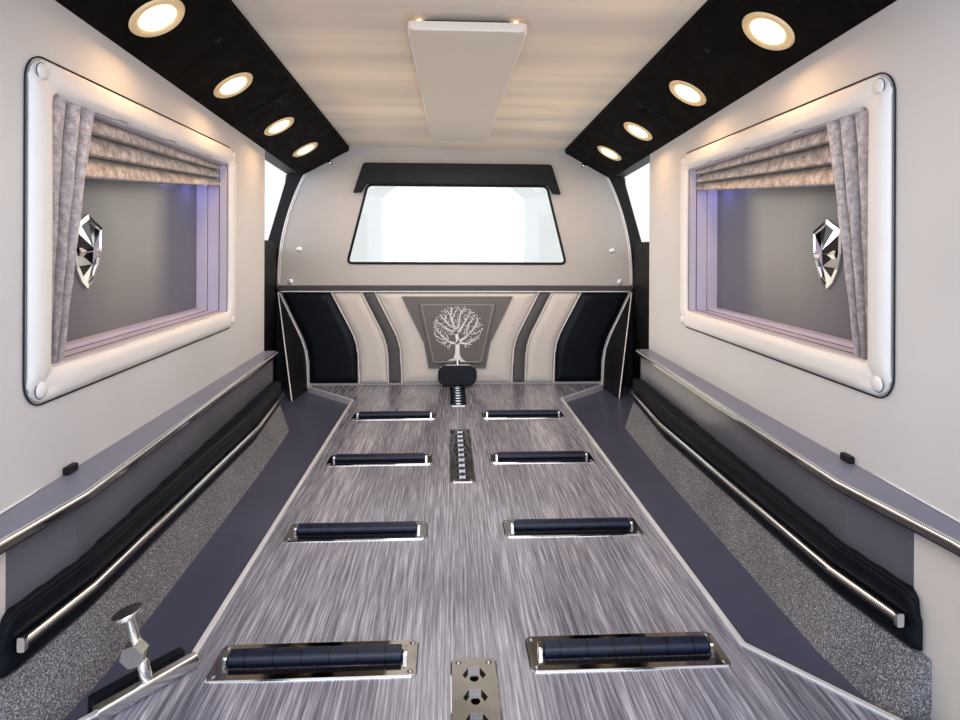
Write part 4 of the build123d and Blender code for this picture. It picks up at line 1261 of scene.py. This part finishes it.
def addScrews():
    spots = []
    top = deckHeight + 0.003
    for name in rollerNames:
        low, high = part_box(name)
        middle = (Vector(low) + Vector(high)) / 2
        spots += [(Vector((middle.x + a * screws["plateAlong"], middle.y + b * screws["plateAcross"], top)),
                   (0, 0, 1)) for a in bothSides for b in bothSides]
    for rear, front in bierEnds:
        spots += [(Vector((side * screws["bierAcross"], place, top)), (0, 0, 1))
                  for side in bothSides for place in (rear + screws["bierInset"], front - screws["bierInset"])]
    profile = [(screws["radius"], 0), (screws["radius"] * 0.8, screws["height"] * 0.75),
               (screws["radius"] * 0.35, screws["height"])]
    turned("plate_screws", spots, profile, "darkChrome", 14)


addStuds()
addScrews()
print("fasteners made")


# Lamps: a lit lens in each trim ring, with a small warm light just under it

lamp = {"stations": (0.991, 1.374, 1.780, 2.133), "share": 0.53, "lensRadius": 0.0335, "watts": 1.05,
        "tint": (1.0, 0.58, 0.27), "drop": 0.016, "lightSize": (0.055, 0.055)}
valance = {"inner": 0.467, "innerUp": 0.971, "outerUp": 0.869, "roof": 1.192, "pitch": 0.0415}


def valancePoint(sign, along, share):
    # a point on the valance's face: 0 at its inner edge and 1 at the wall
    y = wallPlane["rear"] + along
    rise = valance["pitch"] * (valance["roof"] - y)
    wallX = wallPlane["half"] + wallPlane["toe"] * along
    x = valance["inner"] + (wallX - valance["inner"]) * share
    up = valance["innerUp"] + (valance["outerUp"] - valance["innerUp"]) * share + rise
    return Vector((sign * x, y, deckHeight + up))


def valanceFacing(sign, along):
    # the direction that the valance's face looks in
    across = valancePoint(sign, along, 1) - valancePoint(sign, along, 0)
    forward = Vector((0, 1, -valance["pitch"]))
    facing = forward.cross(across).normalized()
    return facing if facing.z < 0 else -facing


def addAreaLight(name, shape, size, watts, tint, place, aim):
    data = bpy.data.lights.new(name, "AREA")
    data.shape = shape
    data.size, data.size_y = size
    data.energy = watts
    data.color = tint
    light = bpy.data.objects.new(name, data)
    light.location = place
    light.rotation_mode = "QUATERNION"
    light.rotation_quaternion = aim.to_track_quat("-Z", "Y")
    light.visible_camera = False
    bpy.context.scene.collection.objects.link(light)
    return light


def addLamps():
    spots = []
    for sign in bothSides:
        for index, along in enumerate(lamp["stations"]):
            middle, facing = valancePoint(sign, along, lamp["share"]), valanceFacing(sign, along)
            spots.append((middle + facing * 0.0016, facing))
            light = addAreaLight(f"lampLight{index}", "DISK", lamp["lightSize"], lamp["watts"], lamp["tint"],
                                 middle + facing * lamp["drop"], facing)
            light.visible_glossy = False
    radius = lamp["lensRadius"]
    profile = [(radius, 0), (radius * 0.96, 0.0012), (radius * 0.7, 0.0022), (radius * 0.35, 0.0027)]
    turned("lamp_lenses", spots, profile, "lampGlow", 32)


# small black buttons on the valances, as (distance from the rear, share of the way to the wall), and a double seam
valanceButtons = [(0.45, 0.30), (1.16, 0.26), (1.60, 0.24), (1.99, 0.28), (2.33, 0.30)]
valanceSeam = {"station": 1.585, "half": 0.0022, "radius": 0.0014, "proud": 0.0004}


def addValanceTrim():
    spots = [(valancePoint(sign, along, share), valanceFacing(sign, along))
             for sign in bothSides for along, share in valanceButtons]
    turned("valance_buttons", spots, domeProfile(0.0075, 0.004), "blackVinyl", 16)
    paths, station = [], valanceSeam["station"]
    for sign in bothSides:
        lift = valanceFacing(sign, station) * valanceSeam["proud"]
        for shift in (-valanceSeam["half"], valanceSeam["half"]):
            paths.append([valancePoint(sign, station + shift, share) + lift for share in evenly(0, 1, 20)])
    tubes("valance_seams", paths, valanceSeam["radius"], "blackVinyl", 6)


# Overhead panel: pale cords along its rounded edges and across its rear end as painted highlights, a dark cord painted
# as the shade in the slot over its rear end, and a small light at each side

overhead = {"rear": -0.120, "front": 0.933, "rearHalf": 0.123, "frontHalf": 0.107, "drop": 0.030, "ceiling": 0.995,
            "line": 0.0016, "edgeInset": 0.0022, "endGap": 0.010, "slotHalf": 0.088, "slotBack": 0.020,
            "slotDrop": 0.006, "slotRadius": 0.0042, "ledX": 0.100, "ledRadius": 0.0055}


def underCeiling(x, y, drop):
    rise = valance["pitch"] * (partitionFace - y)
    return Vector((x, y, deckHeight + overhead["ceiling"] + rise - drop))


def addOverheadTrim():
    inset, rear = overhead["edgeInset"], overhead["rear"]
    halves = evenly(overhead["rearHalf"] - inset, overhead["frontHalf"] - inset, 24)
    places = evenly(rear + overhead["endGap"], overhead["front"] - overhead["endGap"], 24)
    paths = [[underCeiling(sign * x, y, overhead["drop"] - inset) for x, y in zip(halves, places)]
             for sign in bothSides]
    reach = overhead["rearHalf"] - 0.012
    paths.append([underCeiling(x, rear + 0.0020, overhead["drop"] - 0.0024) for x in evenly(-reach, reach, 12)])
    # the pale cords are painted highlights on the rounded edges
    tubes("overhead_highlight_lines", paths, overhead["line"], "pipingWhite", 8)
    slotPlace, slotHalf = rear + overhead["slotBack"], overhead["slotHalf"]
    slot = [underCeiling(x, slotPlace, overhead["slotDrop"]) for x in evenly(-slotHalf, slotHalf, 12)]
    # a dark cord filling the slot as painted shade
    tubes("overhead_slot_shade", [slot], overhead["slotRadius"], "blackPlastic", 10)
    spots = [(underCeiling(sign * overhead["ledX"], slotPlace, overhead["slotDrop"]), (0, -1, -0.3))
             for sign in bothSides]
    turned("overhead_leds", spots, domeProfile(overhead["ledRadius"], 0.004), "lampGlow", 16)


addLamps()
addValanceTrim()
addOverheadTrim()
print("lamps and roof trim made")


# Side trim: piping on the bumpers, end caps of the rails, ledge clips and the bright line at the wall's foot

sideTrim = {"pipeRadius": 0.0022, "pipeSpot": 23, "capAlong": 0.664, "capSize": (0.009, 0.007, 0.018),
            "clipMiddle": (-0.006, 0.855, 0.243), "clipSize": (0.010, 0.022, 0.012), "lineStart": 0.004,
            "lineEnd": 0.80, "lineUp": 0.2385, "lineRadius": 0.0016}


def softBox(middle, size):
    # points and faces of a small box with rounded long edges, placed along the right wall by (out, along, up)
    out, along, up = middle
    halfOut, halfAlong, halfUp = (length / 2 for length in size)
    points, sides = [], 12
    for end in (-1, 1):
        for step in range(sides):
            turn = 2 * math.pi * step / sides
            across, rise = (math.copysign(abs(value) ** 0.35, value) for value in (math.cos(turn), math.sin(turn)))
            points.append(onWall(out + across * halfOut, along + end * halfAlong, up + rise * halfUp))
    return points, tubeFaces(2, sides)


def addSideTrim():
    place = sideTrim["capAlong"]
    capMiddle = (valueAt(riserTop, place) - bumper["proud"] - 0.0035, place, bumper["rail"])
    caps = newPiece("rail_caps_right", *softBox(capMiddle, sideTrim["capSize"]), "chrome", False)
    clips = newPiece("ledge_clips_right", *softBox(sideTrim["clipMiddle"], sideTrim["clipSize"]), "blackPlastic", False)
    line = [onWall(-0.0015, along, sideTrim["lineUp"])
            for along in evenly(sideTrim["lineStart"], sideTrim["lineEnd"], 30)]
    lines = tubes("foot_line_right", [line], sideTrim["lineRadius"], "brightEdge", 6)
    pipe = []
    for share in evenly(0, 1, 60):
        along = bumper["start"] + 0.004 + (bumper["end"] - bumper["start"] - 0.008) * share ** 1.3
        out, up = bumperSection(along)[sideTrim["pipeSpot"]]
        pipe.append(onWall(out - 0.0006, along, up + 0.0008))
    pipes = tubes("bumper_piping_right", [pipe], sideTrim["pipeRadius"], "blackVinyl", 8)
    slotBoth("chrome", caps, lines)
    slotBoth("black_plastic", clips)
    slotBoth("black_vinyl", pipes)


addSideTrim()
print("side trim made")


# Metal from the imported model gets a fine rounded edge

edgeWidths = {"roller_plates": 0.0008, "bier_plates": 0.0006, "bier_stop_post": 0.001, "bier_clamp": 0.0012,
              "shields": 0.0015, "deck_edge_trims": 0.001, "rear_sill": 0.001, "bier_clamp_pad": 0.003,
              "corner_trims": 0.002, "side_posts": 0.004, "floor_sills": 0.004, "cant_rails": 0.004,
              "roof_bows": 0.004, "ledges": 0.001, "window_boxes": 0.001}
for nodeName, width in edgeWidths.items():
    weld = nodes[nodeName].modifiers.new("weld", "WELD")
    weld.merge_threshold = 0.00001
    bevel = nodes[nodeName].modifiers.new("edges", "BEVEL")
    bevel.width = width
    bevel.segments = 2
    bevel.angle_limit = math.radians(32)
    bevel.harden_normals = True
print("edges rounded:", len(edgeWidths))


# Camera, floor and lights

cameraLens = {"lens": 22.5, "sensor_width": 36.0, "shift_x": 0.00104, "shift_y": -0.11927, "clip_start": 0.01}
# place in metres, turn to the right and roll in degrees
cameraPose = {"place": (-0.0364, -1.3404, 0.6828), "turn": 2.86, "roll": 0.24}


def setCamera():
    data = bpy.data.cameras.new("viewCamera")
    for setting, value in cameraLens.items():
        setattr(data, setting, value)
    camera = bpy.data.objects.new("viewCamera", data)
    camera.location = cameraPose["place"]
    camera.rotation_euler = [math.radians(angle) for angle in (90, -cameraPose["roll"], -cameraPose["turn"])]
    bpy.context.scene.collection.objects.link(camera)
    bpy.context.scene.camera = camera


# each light's middle, direction, size, power and colour
lightSettings = {
    "rearSoftbox": ((0.0, -2.3, 1.05), (0, 1, -0.06), (1.7, 1.3), 39, (0.89, 0.97, 1.14)),
    "ceilingFill": ((0.0, 0.0, 1.02), (0, 0, -1), (0.5, 2.0), 7, (1.0, 0.96, 0.9)),
    "leftDoorway": ((-1.6, 0.95, 0.95), (1, -0.05, -0.15), (0.9, 0.9), 17, (0.88, 0.95, 1.1)),
    "rightDoorway": ((1.6, 0.95, 0.95), (-1, -0.05, -0.15), (0.9, 0.9), 8, (0.95, 0.98, 1.0)),
    "deckBounce": ((0.12, 0.45, 0.30), (0.12, 0, 1), (0.7, 0.9), 2.2, (1.0, 0.9, 0.74)),
    "leftBoxLight": ((-0.672, 0.208, 0.868), (-1, 0.1, -0.7), (0.02, 0.10), 0.12, (0.42, 0.38, 1.0)),
    "rightBoxLight": ((0.672, 0.208, 0.868), (1, 0.1, -0.7), (0.02, 0.10), 0.12, (0.42, 0.38, 1.0)),
    "overhead": ((0.0, 0.0, 4.2), (0, 0, -1), (4.0, 4.0), 150, (1.0, 1.0, 1.0)),
}


def setWorld():
    # a soft sky as light, and plain white where the eye, a mirror or glass meets it
    air = Finish("studioAir", bpy.data.worlds)
    bpy.context.scene.world = air.owner
    sky = air.add("ShaderNodeBackground", {}, {"Color": (0.94, 0.98, 1.04, 1), "Strength": 0.5})
    white = air.add("ShaderNodeBackground", {}, {"Color": (1, 1, 1, 1), "Strength": 1.0})
    camera, glossy, through = (air.add("ShaderNodeLightPath", {}, {}, f"Is {kind} Ray")
                               for kind in ("Camera", "Glossy", "Transmission"))
    seen = camera.math("MAXIMUM", camera.math("MAXIMUM", camera, glossy), through)
    shown = air.add("ShaderNodeMixShader", {}, {0: seen, 1: sky, 2: white})
    air.add("ShaderNodeOutputWorld", {}, {"Surface": shown})


def addFloor():
    mesh = bpy.data.meshes.new("paleFloor")
    mesh.from_pydata([(-9, -9, 0), (9, -9, 0), (9, 9, 0), (-9, 9, 0)], [], [(0, 1, 2, 3)])
    floor = bpy.data.objects.new("paleFloor", mesh)
    bpy.context.scene.collection.objects.link(floor)
    finish = Finish("paleFloor")
    patch = finish.noise(1.5, 3)
    finish.done({
        "Base Color": finish.ramp(patch, (0.3, (226, 226, 226)), (0.7, (234, 234, 234))),
        "Roughness": 0.8,
    })
    mesh.materials.append(finishes["paleFloor"])


setCamera()
for lightName, (place, aim, size, watts, tint) in lightSettings.items():
    addAreaLight(lightName, "RECTANGLE", size, watts, tint, place, Vector(aim))
setWorld()
addFloor()
bpy.context.scene.view_settings.view_transform = "Standard"
print("camera, lights and floor set")
